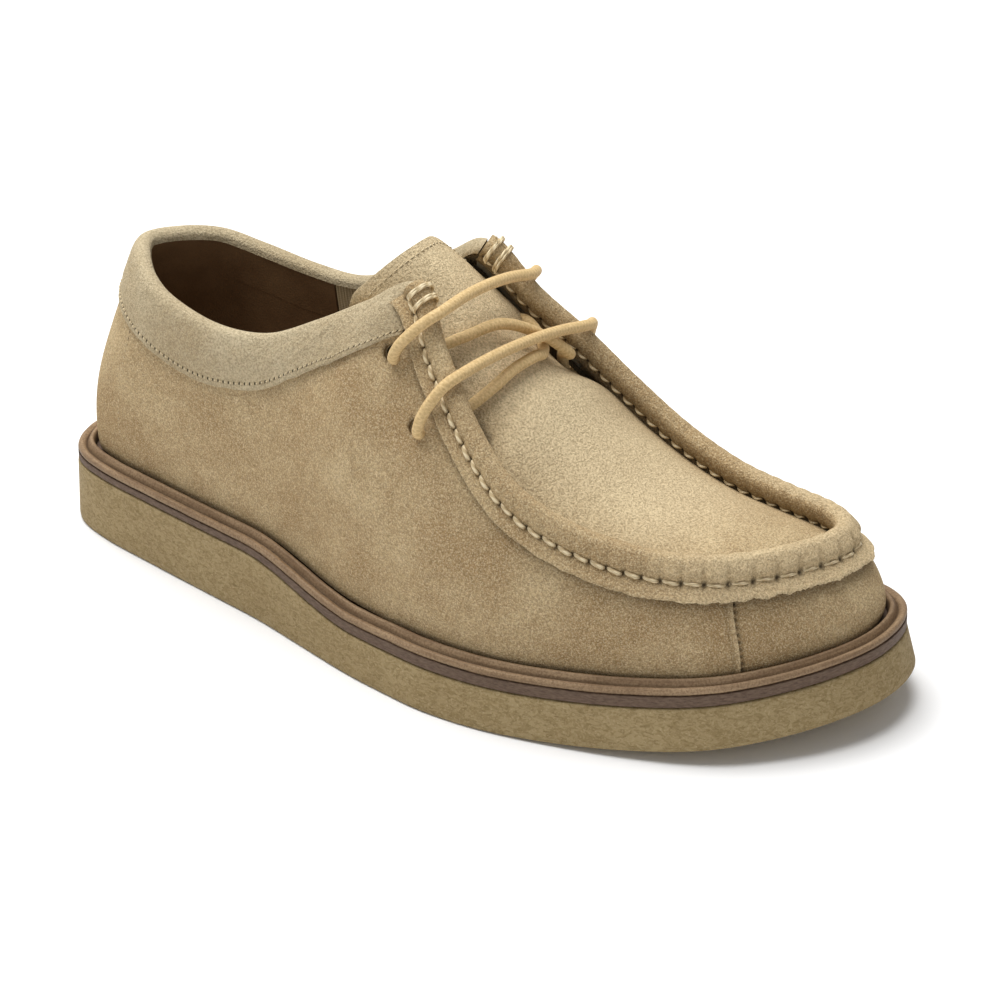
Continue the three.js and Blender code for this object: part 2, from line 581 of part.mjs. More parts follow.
stitchRow('tongue_thread', [
  ...range(0.45, 0.97, 6).map((t) => tonguePoint(t, -0.93, -0.95)),
  ...range(-0.85, 0.85, 8).map((s) => tonguePoint(0.975, s, -0.95)),
  ...range(0.97, 0.45, 6).map((t) => tonguePoint(t, 0.93, -0.95)),
], 30, MATERIALS.tanThread);

// ---------------------------------------------------------------- lace
// through the upper lateral eyelet, over both flanges, and back over the tongue; both ends are tucked inside
const bedLine = (u, inset, lift) => plan(u, -inset, (x) => zMidsole(x) + BED_TOP + lift);
const through = ([u, d]) => [skin(u, d, -7.6), skin(u, d, -3), skin(u, d, 1.2)];
const overFlange = ([u, d], crest) => [
  skin(mix(u, crest, 0.15), d - 5.1, 4.6), skin(mix(u, crest, 0.5), 8, 5.6), skin(mix(u, crest, 0.85), 2, 5.2),
  skin(crest, -3.3, 1.4),
];
const bar = (from, to, rise) => range(0, 1, 4).slice(1, -1).map((t) => {
  const point = mixPoint(from, to, t);
  point[2] += rise * 4 * t * (1 - t);
  return point;
});
// out of the near eyelet, over both flanges, into the far one
function crossing(near, nearCrest, far, farCrest) {
  const out = [...through(near), ...overFlange(near, nearCrest)];
  const back = [...through(far), ...overFlange(far, farCrest)].toReversed();
  return [...out, ...bar(out.at(-1), back[0], 2.6), ...back];
}
const tail = (inset, far) => [
  ...range(far, 9.9, 4).map((u) => bedLine(u, inset, 2.9)),
  bedLine(9.3, inset - 0.5, 4.5),
  skin(9, 64, -inset + 3.5),
];
const UNDER_UPPER_BAR = [
  [163, 18.5, 100.5], [170.2, 15.2, 97.2], [175, 8.5, 96.4], [176.3, 2, 98.4], [175.3, -10, 98.2], [174, -20, 95.6],
  [170, -30, 91],
];
const OVER_TONGUE = [
  [172.5, 24.5, 89], [178.2, 19.5, 92.6], [173.8, 12.4, 100.1], [166.8, -3, 109.2], [160.5, -16, 108],
  [154, -24.5, 106],
];
const LACE_ROUTE = [
  ...tail(11, 12.8),
  skin(8.8, 46, -7.8), skin(8.65, 30, -8),
  ...crossing(LATERAL_EYELETS[0], 8.62, MEDIAL_EYELETS[0], COUNT - 8.8),
  ...UNDER_UPPER_BAR,
  ...crossing(LATERAL_EYELETS[1], 9.45, MEDIAL_EYELETS[1], COUNT - 9.93),
  ...OVER_TONGUE,
  skin(8.15, 23, -8.6), skin(8.05, 36, -8), skin(8.15, 50, -8.2),
  ...tail(16.5, 12.2).toReversed(),
];
add('lace', tube(LACE_ROUTE, LACE_RADIUS, 140, 7), MATERIALS.lace);
function aglet(end, next) {
  const step = end.map((value, k) => value - next[k]);
  const scale = 1 / Math.hypot(...step);
  const at = (s) => end.map((value, k) => value + step[k] * scale * s);
  return tube([at(GAP), at(GAP + AGLET_LENGTH)], AGLET_RADIUS, 1, 10);
}
add('aglet_a', aglet(LACE_ROUTE[0], LACE_ROUTE[1]), MATERIALS.aglet);
add('aglet_b', aglet(LACE_ROUTE.at(-1), LACE_ROUTE.at(-2)), MATERIALS.aglet);

export default shoe;
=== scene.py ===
import math

import bmesh
import bpy
import numpy as np
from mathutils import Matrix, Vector


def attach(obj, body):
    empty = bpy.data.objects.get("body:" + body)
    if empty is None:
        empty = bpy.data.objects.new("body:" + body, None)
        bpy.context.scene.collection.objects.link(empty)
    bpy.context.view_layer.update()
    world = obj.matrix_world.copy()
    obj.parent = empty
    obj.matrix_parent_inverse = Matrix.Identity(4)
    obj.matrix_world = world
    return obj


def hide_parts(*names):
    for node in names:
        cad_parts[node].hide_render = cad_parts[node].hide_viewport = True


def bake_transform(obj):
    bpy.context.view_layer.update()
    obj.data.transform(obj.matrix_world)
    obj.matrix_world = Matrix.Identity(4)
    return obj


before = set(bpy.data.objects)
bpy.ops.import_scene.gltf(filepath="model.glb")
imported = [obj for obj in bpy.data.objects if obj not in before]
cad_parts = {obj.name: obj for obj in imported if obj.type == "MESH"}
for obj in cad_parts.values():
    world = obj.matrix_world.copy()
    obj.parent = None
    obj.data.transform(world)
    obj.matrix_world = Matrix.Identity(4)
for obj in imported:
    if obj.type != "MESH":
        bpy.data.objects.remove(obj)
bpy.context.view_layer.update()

# ---- dimensions in mm, as in the CAD
ORIGIN = np.array([149.9, -3.35, 0.0])      # the shared frame's origin, in the frame of the stations
GAP = 0.3                           # between two pieces that touch
WELT_WIDTH = 7.5
SOLE_FLARE = (0.5, 3.5)             # how far the crepe's foot stands out, at the heel and at the toe
SUEDE = 1.6
LINING = 1.0
LACE = 1.65                         # radius
EYELET = 2.7                        # radius
TOE_RISE = 11.0
CREPE = (22.5, 14.2)                # thickness at the heel and under the ball
MIDSOLE = (2.95, 4.4)

# places along the shoe are stations: 0 at the heel, round the lateral side to the toe, and back
COUNT = 34
COLLAR_END = 7.94                   # of the collar's rim
THROAT = 7.98                       # the flange's two ends
SLIT = 10.6                         # the tongue's root
TOE_SEAM = 14.6
TOE = 17.0
LINING_BREAK = 4.5                  # between the heel's leather lining and the cloth
LATERAL_EYELETS = ((8.55, 18.7), (9.45, 19.5))
MEDIAL_EYELETS = ((COUNT - 8.7, 18.7), (COUNT - 9.9, 19.5))
HOLE_SHIFT = (-0.1, 0.9)            # the taut lace lies against the upper front of each punched hole

# one row for each station: feather line x, y | top edge x, y, z | belly, flare and backward rake
STATIONS = np.array([
    (5, 1.5, 22, 3.5, 104, 3, 0.28, 0),
    (9.5, -11, 28.5, -8.5, 103.5, 3, 0.26, 0),
    (23, -17.5, 39.5, -18.5, 100.5, 3, 0.22, 0),
    (44, -22.5, 54, -24.5, 97, 2.5, 0.15, 0),
    (72, -28.5, 74, -28.5, 95, 2, 0.12, 0),
    (98, -34, 94, -29, 97.5, 2, 0.2, 0.05),
    (116, -39, 113, -27.5, 107, 2.5, 0.4, 0.2),
    (130, -43, 132, -25, 118, 3, 0.6, 0.45),
    (143, -46.5, 150, -23.5, 127.5, 3, 0.7, 0.7),
    (158, -49.5, 163, -30.5, 110.5, 3.5, 0.7, 0.6),
    (175, -52, 179, -38.5, 93, 4, 0.6, 0.5),
    (194, -51.5, 196, -43, 78, 4, 0.4, 0.35),
    (216, -47.5, 216, -40, 68, 3.5, 0.35, 0.2),
    (238, -41.5, 237.5, -32.5, 62.3, 3, 0.35, 0.1),
    (258, -33.5, 254.5, -24, 61, 3, 0.35, 0),
    (272, -22.5, 265.5, -12, 60.3, 3, 0.35, 0),
    (284.5, -7, 273, 1, 59.6, 3, 0.35, 0),
    (291.5, 9.5, 277.5, 13.5, 59, 3, 0.35, 0),
    (290, 26, 276, 25, 58, 3, 0.35, 0),
    (280, 36.5, 267, 31.5, 58, 3, 0.35, 0),
    (263.5, 41, 250.5, 34, 58.7, 3, 0.35, 0.05),
    (242, 43.5, 231.5, 36, 60.8, 3, 0.35, 0.1),
    (222, 45, 211, 38, 67.5, 3, 0.35, 0.2),
    (202, 45, 193, 36.5, 79.5, 3.5, 0.4, 0.35),
    (182, 42.5, 178, 31.5, 94, 3.5, 0.6, 0.5),
    (162, 39, 164, 23, 109.5, 3.5, 0.7, 0.6),
    (145, 36.5, 150, 17, 126.5, 3, 0.7, 0.7),
    (130, 34.5, 132, 22, 117, 3, 0.6, 0.45),
    (116, 33.5, 113, 25.5, 106, 2.5, 0.4, 0.2),
    (98, 33, 94, 28, 96.5, 2, 0.2, 0.05),
    (72, 32.5, 74, 29.5, 95.5, 2, 0.12, 0),
    (44, 30, 54, 28.5, 98.5, 2.5, 0.15, 0),
    (23, 25.5, 39.5, 24, 102.3, 3, 0.22, 0),
    (9, 14.5, 28.5, 14.5, 104, 3, 0.26, 0),
], float)

TONGUE_LINE = np.array([
    (183.5, -3, 89.8), (178, -3, 93.8), (171, -3, 99.5), (163.5, -3, 107), (156.5, -3, 115),
    (148, -4, 123.5), (138, -5, 131),
], float)


# ---- maths
def smooth(x, a, b):
    t = np.clip((np.asarray(x, float) - a) / (b - a), 0, 1)
    return t * t * (3 - 2 * t)


def mix(a, b, t):
    return a + (b - a) * t


def hump(x, width):
    """A bell: 1 where x is 0, nearly nothing past twice the width."""
    return np.exp(-(x / width) ** 2)


def unit(vectors):
    return vectors / np.linalg.norm(vectors, axis=-1, keepdims=True)


def arc_length(points):
    """The distance run along a line of points, at each of them."""
    return np.concatenate([[0], np.cumsum(np.linalg.norm(np.diff(points, axis=0), axis=1))])


def from_heel(u):
    """Stations forward of the heel, alike on both sides of the shoe."""
    return np.minimum(u, COUNT - u)


def catmull(p0, p1, p2, p3, t):
    return 0.5 * (2 * p1 + (p2 - p0) * t + (2 * p0 - 5 * p1 + 4 * p2 - p3) * t ** 2
                  + (3 * p1 - p0 - 3 * p2 + p3) * t ** 3)


def spline(points, t):
    """Catmull-Rom line through the points; t runs from 0 to len(points) - 1."""
    p = np.asarray(points, float)
    p = np.concatenate([[2 * p[0] - p[1]], p, [2 * p[-1] - p[-2]]])
    t = np.atleast_1d(np.asarray(t, float))
    i = np.clip(np.floor(t).astype(int), 0, len(p) - 4)
    f = (t - i).reshape((-1,) + (1,) * (p.ndim - 1))
    return catmull(p[i], p[i + 1], p[i + 2], p[i + 3], f)


def along_line(at, s, points):
    """Points of a line at the distances given; s holds the distance of each of its own points."""
    return np.stack([np.interp(at, s, column) for column in points.T], -1)


def resample(points, count):
    """Points at even steps along the smooth line through the given points."""
    fine = spline(points, np.linspace(0, len(points) - 1, len(points) * 24))
    s = arc_length(fine)
    return along_line(np.linspace(0, s[-1], count), s, fine)


def ripple(x, y, seed=0.0):
    """Smooth wandering value from -1 to 1, without any random number."""
    return (np.sin(x + 1.7 * np.sin(y * 0.7 + seed) + seed)
            + np.sin(y * 1.3 + 1.3 * np.sin(x * 0.9 - seed))
            + 0.6 * np.sin(1.9 * x - 1.1 * y + 2 * seed)) / 2.6


# ---- heights of the sole layers
def z_ground(x):
    return TOE_RISE * np.clip((np.asarray(x, float) - 190) / 110, 0, None) ** 2


def z_crepe(x):
    return z_ground(x) + mix(*CREPE, smooth(x, 88, 143))


def z_midsole(x):
    return z_crepe(x) + mix(*MIDSOLE, smooth(x, 60, 180))


# ---- the wall of the upper
def station(u):
    """The station's row at any point u between the given stations."""
    u = np.asarray(u, float) % COUNT
    i = np.floor(u).astype(int)
    around = [STATIONS[(i + k) % COUNT] for k in (-1, 0, 1, 2)]
    return catmull(*around, (u - i)[..., None])


def outward(u):
    """Level unit vector out of the shoe at station u."""
    d = unit(station(np.asarray(u) + 0.02)[..., :2] - station(np.asarray(u) - 0.02)[..., :2])
    return np.stack([d[..., 1], -d[..., 0]], -1)


def plan(u, n):
    """Plan point on the feather line moved out by n."""
    return station(u)[..., :2] + outward(u) * np.asarray(n, float)[..., None]


def wall(u, v):
    """Point on the upper's outer face: a cubic curve from the feather line, v 0, to the top edge, v 1."""
    u, v = np.broadcast_arrays(np.asarray(u, float), np.asarray(v, float))
    foot_x, foot_y, top_x, top_y, top_z, belly, flare, rake = np.moveaxis(station(u), -1, 0)
    out_x, out_y = np.moveaxis(outward(u), -1, 0)
    foot_z = z_midsole(foot_x) + GAP
    height = top_z - foot_z
    drop = 0.34 * height
    p0 = np.stack([foot_x, foot_y, foot_z], -1)
    p1 = np.stack([foot_x + out_x * belly, foot_y + out_y * belly, foot_z + 0.42 * height], -1)
    p2 = np.stack([top_x + (out_x * flare - rake) * drop, top_y + out_y * flare * drop, top_z - drop], -1)
    p3 = np.stack([top_x, top_y, top_z], -1)
    v = v[..., None]
    w = 1 - v
    return w ** 3 * p0 + 3 * v * w * w * p1 + 3 * v * v * w * p2 + v ** 3 * p3


def normal(u, v):
    du = wall(u + 0.01, v) - wall(u - 0.01, v)
    dv = wall(u, np.minimum(v + 0.01, 1)) - wall(u, np.maximum(v - 0.01, 0))
    return unit(np.cross(du, dv))


STEPS = 64
SHARES = np.arange(STEPS + 1) / STEPS
sections = {}


def section(u):
    """Depths under the top edge at even steps of v, kept for each station that is asked for."""
    key = round(float(u), 6)
    if key not in sections:
        sections[key] = arc_length(wall(np.full(STEPS + 1, key), 1 - SHARES))
    return sections[key]


def wall_depth(u):
    """Depth of the feather line under the top edge."""
    return np.array([section(x)[-1] for x in np.atleast_1d(u)])


def skin(u, d, n):
    """Points at depth d under the top edge along the wall, moved out by n. All three broadcast."""
    u, d, n = np.broadcast_arrays(*(np.asarray(a, float) for a in (u, d, n)))
    flat_u, flat_d = u.ravel(), d.ravel()
    v = np.empty(flat_u.shape)
    for value in np.unique(flat_u):
        at = flat_u == value
        v[at] = 1 - np.interp(flat_d[at], section(value), SHARES)
    v = v.reshape(u.shape)
    base = wall(u, v)
    above = np.clip(-d, 0, None)[..., None]
    tangent = unit(wall(u, 1.0) - wall(u, 1 - 1 / STEPS))
    return base + tangent * above + normal(u, v) * n[..., None]


# ---- mesh building
def finish_mesh(obj, angle, material):
    """Faces out, smooth shading with edges past the angle sharp, and the material."""
    mesh = obj.data
    bm = bmesh.new()
    bm.from_mesh(mesh)
    bmesh.ops.recalc_face_normals(bm, faces=bm.faces)
    bm.to_mesh(mesh)
    bm.free()
    mesh.shade_smooth()
    mesh.set_sharp_from_angle(angle=math.radians(angle))
    mesh.materials.append(material)
    return obj


def add(name, data):
    obj = bpy.data.objects.new(name, data)
    bpy.context.scene.collection.objects.link(obj)
    return obj


def new_object(name, points, faces, uv=None, attributes=None):
    """Points in mm in the stations' frame. Each point has a pair in uv and a number in each attribute."""
    mesh = bpy.data.meshes.new(name)
    mesh.from_pydata(((points - ORIGIN) * 0.001).tolist(), [], faces)
    obj = add(name, mesh)
    for key, values in (attributes or {}).items():
        layer = mesh.attributes.new(key, "FLOAT", "POINT")
        layer.data.foreach_set("value", values.astype(np.float32))
    if uv is not None:
        index = np.empty(len(mesh.loops), np.int32)
        mesh.loops.foreach_get("vertex_index", index)
        mesh.uv_layers.new(name="UVMap").data.foreach_set("uv", uv.astype(np.float32)[index].ravel())
    return obj


def shell(name, face, back, material, angle=50, keep=None, uv=None, attributes=None, closed=False):
    """One leather: a face grid and a back grid, both (rows, columns, 3), joined round their free edges.

    A closed shell's last row joins its first. keep is False for the cells that are left open.
    """
    rows, cols = face.shape[:2]
    half = rows * cols
    faces, edges = [], {}
    for i in range(rows if closed else rows - 1):
        k = (i + 1) % rows
        for j in range(cols - 1):
            if keep is not None and not keep[i, j]:
                continue
            q = (i * cols + j, k * cols + j, k * cols + j + 1, i * cols + j + 1)
            faces.append(q)
            faces.append(tuple(half + x for x in reversed(q)))
            for a in range(4):
                edges[(q[a], q[(a + 1) % 4])] = True
    for a, b in edges:
        if (b, a) not in edges:
            faces.append((b, a, half + a, half + b))

    def both(grid):
        flat = np.broadcast_to(grid, (rows, cols)).ravel()
        return np.concatenate([flat, flat])

    points = np.concatenate([face.reshape(-1, 3), back.reshape(-1, 3)])
    uv = (arc_grid(face) if uv is None else uv).reshape(-1, 2)
    numbers = {key: both(values) for key, values in (attributes or {}).items()}
    return finish_mesh(new_object(name, points, faces, np.concatenate([uv, uv]), numbers), angle, material)


def arc_grid(face):
    """Distances along the two directions of a grid, in metres, as texture coordinates."""
    along = arc_length(face[:, face.shape[1] // 2])
    across = np.zeros(face.shape[:2])
    across[:, 1:] = np.cumsum(np.linalg.norm(np.diff(face, axis=1), axis=2), axis=1)
    return np.stack([np.broadcast_to(along[:, None], across.shape), across], -1) * 0.001


def tube_parts(points, radius, sides):
    """Vertices, faces and texture coordinates of a round tube; radius is a number or one for each point."""
    p = np.asarray(points, float)
    radius = np.broadcast_to(radius, (len(p),))
    t = unit(np.gradient(p, axis=0))
    ref = np.cross(t[0], (0, 0, 1.0))
    if np.linalg.norm(ref) < 1e-3:
        ref = np.cross(t[0], (0, 1.0, 0))
    frames = []
    for k in range(len(p)):
        ref = unit(ref - t[k] * ref.dot(t[k]))
        frames.append((ref, np.cross(t[k], ref)))
    angle = np.arange(sides) * 2 * math.pi / sides
    verts, uv, faces = [], [], []
    s = arc_length(p) * 0.001
    for k, (a, b) in enumerate(frames):
        verts.append(p[k] + radius[k] * (np.cos(angle)[:, None] * a + np.sin(angle)[:, None] * b))
        uv.append(np.stack([np.full(sides, s[k]), angle / (2 * math.pi)], 1))
    for k in range(len(p) - 1):
        for j in range(sides):
            m = (j + 1) % sides
            faces.append((k * sides + j, k * sides + m, (k + 1) * sides + m, (k + 1) * sides + j))
    faces.append(tuple(range(sides))[::-1])
    last = (len(p) - 1) * sides
    faces.append(tuple(range(last, last + sides)))
    return np.concatenate(verts), faces, np.concatenate(uv)


def tubes(name, runs, material, sides):
    """One object of many short tubes. Each run is (points, radius)."""
    verts, faces, uv, start = [], [], [], 0
    for points, radius in runs:
        ring_points, ring_faces, ring_uv = tube_parts(points, radius, sides)
        verts.append(ring_points)
        uv.append(ring_uv)
        faces += [tuple(start + x for x in face) for face in ring_faces]
        start += len(ring_points)
    obj = new_object(name, np.concatenate(verts), faces, np.concatenate(uv))
    return finish_mesh(obj, 70, material)


# ---- materials
def linear(r, g, b):
    """A display colour, 0 to 255, as the linear numbers that the nodes take."""
    return tuple((c / 255 / 12.92 if c <= 10 else ((c / 255 + 0.055) / 1.055) ** 2.4) for c in (r, g, b))


def darker(colour, share):
    return tuple(c * share for c in colour)


class Shader:
    """A material's node tree. Its paint is the colour so far, and each tint is laid over it."""

    def __init__(self, name, roughness, specular, sheen=0.0, sheen_tint=(1, 1, 1), metallic=0.0, coat=0.0):
        self.material = bpy.data.materials.new(name)
        self.material.use_nodes = True
        self.tree = self.material.node_tree
        self.bsdf = self.tree.nodes["Principled BSDF"]
        settings = {"Roughness": roughness, "Specular IOR Level": specular, "Metallic": metallic,
                    "Sheen Weight": sheen, "Sheen Roughness": 0.55, "Sheen Tint": (*sheen_tint, 1),
                    "Coat Weight": coat, "Coat Roughness": 0.35}
        for key, value in settings.items():
            self.bsdf.inputs[key].default_value = value
        self.coords = self.tree.nodes.new("ShaderNodeTexCoord")
        self.paint = self.normal = None

    def node(self, kind, inputs, **settings):
        """A new node. A value is set on its input, and another node's output is linked to it."""
        node = self.tree.nodes.new(kind)
        for key, value in settings.items():
            setattr(node, key, value)
        for key, value in inputs.items():
            if isinstance(value, bpy.types.NodeSocket):
                self.tree.links.new(value, node.inputs[key])
            else:
                node.inputs[key].default_value = value
        return node

    def vector(self, kind="Object", scale=(1, 1, 1)):
        node = self.node("ShaderNodeMapping", {"Vector": self.coords.outputs[kind], "Scale": scale})
        return node.outputs["Vector"]

    def noise(self, scale, detail=3, roughness=0.55, vector=None, distortion=0.0):
        inputs = {"Vector": vector or self.vector(), "Scale": scale, "Detail": detail,
                  "Roughness": roughness, "Distortion": distortion}
        return self.node("ShaderNodeTexNoise", inputs).outputs["Fac"]

    def wave(self, scale, vector, direction):
        inputs = {"Vector": vector, "Scale": scale}
        return self.node("ShaderNodeTexWave", inputs, bands_direction=direction).outputs["Fac"]

    def cells(self, scale):
        node = self.node("ShaderNodeTexVoronoi", {"Vector": self.vector(), "Scale": scale})
        return node.outputs["Distance"]

    def attribute(self, name):
        return self.node("ShaderNodeAttribute", {}, attribute_name=name).outputs["Fac"]

    def ramp(self, value, low, high, start=0.0, end=1.0):
        inputs = {"Value": value, "From Min": low, "From Max": high, "To Min": start, "To Max": end}
        return self.node("ShaderNodeMapRange", inputs, clamp=True).outputs["Result"]

    def math(self, operation, a, b):
        return self.node("ShaderNodeMath", {0: a, 1: b}, operation=operation).outputs["Value"]

    def times(self, a, b):
        return self.math("MULTIPLY", a, b)

    def blend(self, share, a, b):
        """Colour a, with b over it by the share; each is a colour's numbers or an output."""
        a, b = ((*c, 1) if isinstance(c, tuple) else c for c in (a, b))
        return self.node("ShaderNodeMix", {0: share, 6: a, 7: b}, data_type="RGBA").outputs[2]

    def cloud(self, texture, low, high, dark, light):
        """The first paint: between two colours, by a texture."""
        self.paint = self.blend(self.ramp(texture, low, high), dark, light)

    def tint(self, share, colour):
        self.paint = self.blend(share, self.paint, colour)

    def bump(self, height, distance, strength):
        inputs = {"Height": height, "Distance": distance, "Strength": strength}
        if self.normal:
            inputs["Normal"] = self.normal
        self.normal = self.node("ShaderNodeBump", inputs).outputs["Normal"]

    def finish(self):
        self.tree.links.new(self.paint, self.bsdf.inputs["Base Color"])
        self.tree.links.new(self.normal, self.bsdf.inputs["Normal"])
        return self.material


DEEP_SHADE = (0.012, 0.008, 0.004)
# colour of the painted shade in a needle hole
NEEDLE_HOLE_SHADE = (0.03, 0.02, 0.01)
HOLE_STRETCH = 3.2                  # from a share of a stitch to mm, a little too long, for short holes


def suede(name, base, dark, light, pale, holes=False):
    """Short nap: cloudy brushing and fine tufts; attributes paint light and highlights on it, show cut edges
    or paint shade on it.
    """
    s = Shader(name, 0.95, 0.1, 0.22, light)
    brush = s.noise(95, 4, 0.6, distortion=0.8)
    tuft = s.noise(1300, 4, 0.6)
    grain = s.noise(2100, 2, 0.6)
    s.cloud(s.noise(30, 3, 0.5), 0.34, 0.66, dark, light)
    s.tint(0.25, base)
    s.tint(s.ramp(brush, 0.42, 0.7, 0.0, 0.6), dark)
    # painted light: paler where the pale attribute marks tops lit from above
    s.tint(s.times(s.attribute("pale"), 0.7), pale)
    # paler at cut edges, and a painted highlight along the flange's crest
    s.tint(s.times(s.attribute("edge"), 0.5), pale)
    s.tint(s.ramp(tuft, 0.6, 0.4, 0.0, 0.5), darker(dark, 0.42))
    s.tint(s.ramp(grain, 0.48, 0.66, 0.0, 0.5), pale)
    # painted shade in gaps, holes and corners
    s.tint(s.times(s.attribute("shade"), 0.95), DEEP_SHADE)
    if holes:
        # painted shade of a needle hole wherever the count of stitches is whole and the distance from the row
        # is nothing
        beat = s.times(s.math("PINGPONG", s.attribute("beat"), 0.5), HOLE_STRETCH)
        reach = s.math("ADD", s.math("POWER", beat, 2.0), s.math("POWER", s.attribute("off"), 2.0))
        s.tint(s.ramp(reach, 0.12, 0.5, 0.95, 0.0), NEEDLE_HOLE_SHADE)
    s.bump(s.math("ADD", s.times(tuft, 0.8), s.times(grain, 0.35)), 0.001, 0.9)
    s.bump(brush, 0.0006, 0.3)
    return s.finish()


def thread_material(name, base, dark, twist):
    """Twisted ply: the larger the twist, the closer together its turns are."""
    s = Shader(name, 0.62, 0.35, 0.25, base)
    ply = s.wave(0.5, s.vector("UV", (twist, 2.0, 1)), "DIAGONAL")
    s.cloud(ply, 0.15, 0.75, dark, base)
    s.bump(ply, 0.0002, 0.7)
    return s.finish()


def crepe_material():
    """Plantation crepe: worm-like grain, darker flecks and pale pits."""
    s = Shader("crepe", 0.82, 0.28)
    stretched = s.vector("Object", (1, 1, 1.9))
    worm = s.noise(300, 2, 0.5, stretched, 1.4)
    pit = s.noise(1500, 2, 0.5)
    s.cloud(s.noise(26, 2, 0.5), 0.3, 0.7, linear(150, 130, 93), linear(162, 143, 105))
    s.tint(s.ramp(worm, 0.44, 0.58, 0.0, 0.42), linear(118, 98, 58))
    s.tint(s.ramp(s.noise(560, 2, 0.5, stretched, 1.0), 0.52, 0.66, 0.0, 0.4), linear(106, 86, 50))
    s.tint(s.ramp(pit, 0.55, 0.75, 0.0, 0.4), linear(192, 172, 134))
    s.bump(s.math("ADD", worm, s.times(pit, 0.3)), 0.0006, 0.7)
    return s.finish()


def welt_material():
    """Smooth tan leather, streaked along the welt, with painted shade in its groove and along its foot."""
    s = Shader("welt_leather", 0.58, 0.35)
    fine = s.noise(1400, 3, 0.6)
    streak = s.noise(120, 4, 0.6, s.vector("UV", (0.25, 3, 1)))
    s.cloud(streak, 0.35, 0.68, linear(124, 99, 72), linear(164, 138, 106))
    s.tint(s.ramp(fine, 0.42, 0.62, 0.0, 0.55), linear(100, 76, 52))
    s.tint(s.times(s.attribute("shade"), 0.75), linear(58, 42, 28))
    s.bump(fine, 0.00018, 0.6)
    return s.finish()


def midsole_material():
    s = Shader("midsole_rubber", 0.7, 0.3)
    streak = s.noise(500, 3, 0.6, s.vector("Object", (1, 1, 4)))
    s.cloud(streak, 0.35, 0.68, linear(84, 66, 53), linear(112, 92, 76))
    s.bump(streak, 0.00015, 0.5)
    return s.finish()


def leather_material(name, base, dark, roughness):
    """Smooth lining leather with pores."""
    s = Shader(name, roughness, 0.35)
    pore = s.cells(1500)
    s.cloud(s.noise(60), 0.3, 0.7, dark, base)
    s.tint(s.ramp(pore, 0.0, 0.5, 0.35, 0.0), darker(dark, 0.6))
    s.bump(pore, 0.00012, 0.6)
    return s.finish()


def textile_material(name, base, dark):
    """Ribbed lining cloth: fine cords one way, with weft across them."""
    s = Shader(name, 0.9, 0.15, 0.3, base)
    rib, weft = s.wave(230, s.vector("UV"), "X"), s.wave(420, s.vector("UV"), "Y")
    weave = s.math("ADD", s.times(rib, 0.75), s.times(weft, 0.25))
    s.cloud(weave, 0.1, 0.9, dark, base)
    s.tint(s.ramp(s.noise(90), 0.35, 0.7, 0.0, 0.25), dark)
    # painted shade where the shade attribute marks it
    s.tint(s.attribute("shade"), darker(dark, 0.07))
    s.bump(weave, 0.0003, 0.8)
    return s.finish()


def lace_material():
    """Round waxed cord: a faint braid of two families of strands, and fibres along it."""
    s = Shader("lace_cord", 0.7, 0.25, 0.25, linear(230, 205, 160))
    strands = [s.wave(0.5, s.vector("UV", (820, slant, 1)), "DIAGONAL") for slant in (5, -5)]
    braid = s.math("MAXIMUM", *strands)
    fibre = s.noise(1400, 4, 0.65, s.vector("Object", (0.45, 1, 1)))
    s.cloud(fibre, 0.35, 0.65, linear(192, 162, 112), linear(220, 192, 142))
    s.tint(s.ramp(braid, 0.75, 0.35, 0.0, 0.25), linear(158, 126, 80))
    s.bump(s.math("ADD", s.times(braid, 0.5), fibre), 0.00016, 0.6)
    return s.finish()


def plain(name, base, dark, scale, roughness, metallic=0.0, bump=0.0002, coat=0.0):
    """A grainy material for the inner pieces and the lace's tips."""
    s = Shader(name, roughness, 0.4, metallic=metallic, coat=coat)
    grain = s.noise(scale, 4, 0.6)
    s.cloud(grain, 0.35, 0.68, dark, base)
    s.bump(grain, bump, 0.6)
    return s.finish()


suede_material = suede("suede", linear(188, 162, 123), linear(162, 133, 93), linear(202, 179, 138),
                       linear(240, 221, 182))
collar_material = suede("suede_collar", linear(190, 172, 140), linear(172, 151, 116), linear(202, 186, 154),
                        linear(214, 200, 168), holes=True)
pale_fine_thread = thread_material("thread_pale_fine", linear(226, 210, 174), linear(178, 158, 122), 900.0)
cream_thread = thread_material("thread_cream", linear(236, 219, 182), linear(192, 170, 130), 380.0)
tan_thread = thread_material("thread_tan", linear(214, 196, 160), linear(160, 138, 104), 900.0)
crepe = crepe_material()
welt_leather = welt_material()
midsole_rubber = midsole_material()
lining_leather = leather_material("lining_leather", linear(128, 98, 66), linear(104, 76, 48), 0.6)
footbed_leather = leather_material("footbed_leather", linear(128, 96, 66), linear(98, 70, 46), 0.5)
textile = textile_material("lining_textile", linear(214, 196, 158), linear(166, 146, 110))
lace_cord = lace_material()
board = plain("fibre_board", linear(176, 148, 110), linear(140, 112, 78), 600, 0.85)
stiffener = plain("stiffener_fibre", linear(206, 194, 168), linear(180, 166, 138), 700, 0.85)
foam = plain("foam", linear(226, 216, 192), linear(196, 184, 158), 1600, 0.95, bump=0.0005)
cork = plain("cork", linear(186, 142, 94), linear(128, 88, 52), 500, 0.9, bump=0.0005)
steel = plain("spring_steel", linear(170, 172, 176), linear(132, 134, 138), 900, 0.38, 1.0)
aglet_plastic = plain("aglet_plastic", linear(214, 188, 136), linear(190, 160, 110), 800, 0.3, coat=0.4)


def done(obj, node, body="shoe"):
    """Puts a finished piece on its body, in place of a CAD node."""
    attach(obj, body)
    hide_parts(node)


# ---- sole
LOOP = np.linspace(0, COUNT, 409)[:-1]
CAP_COLUMNS = 7


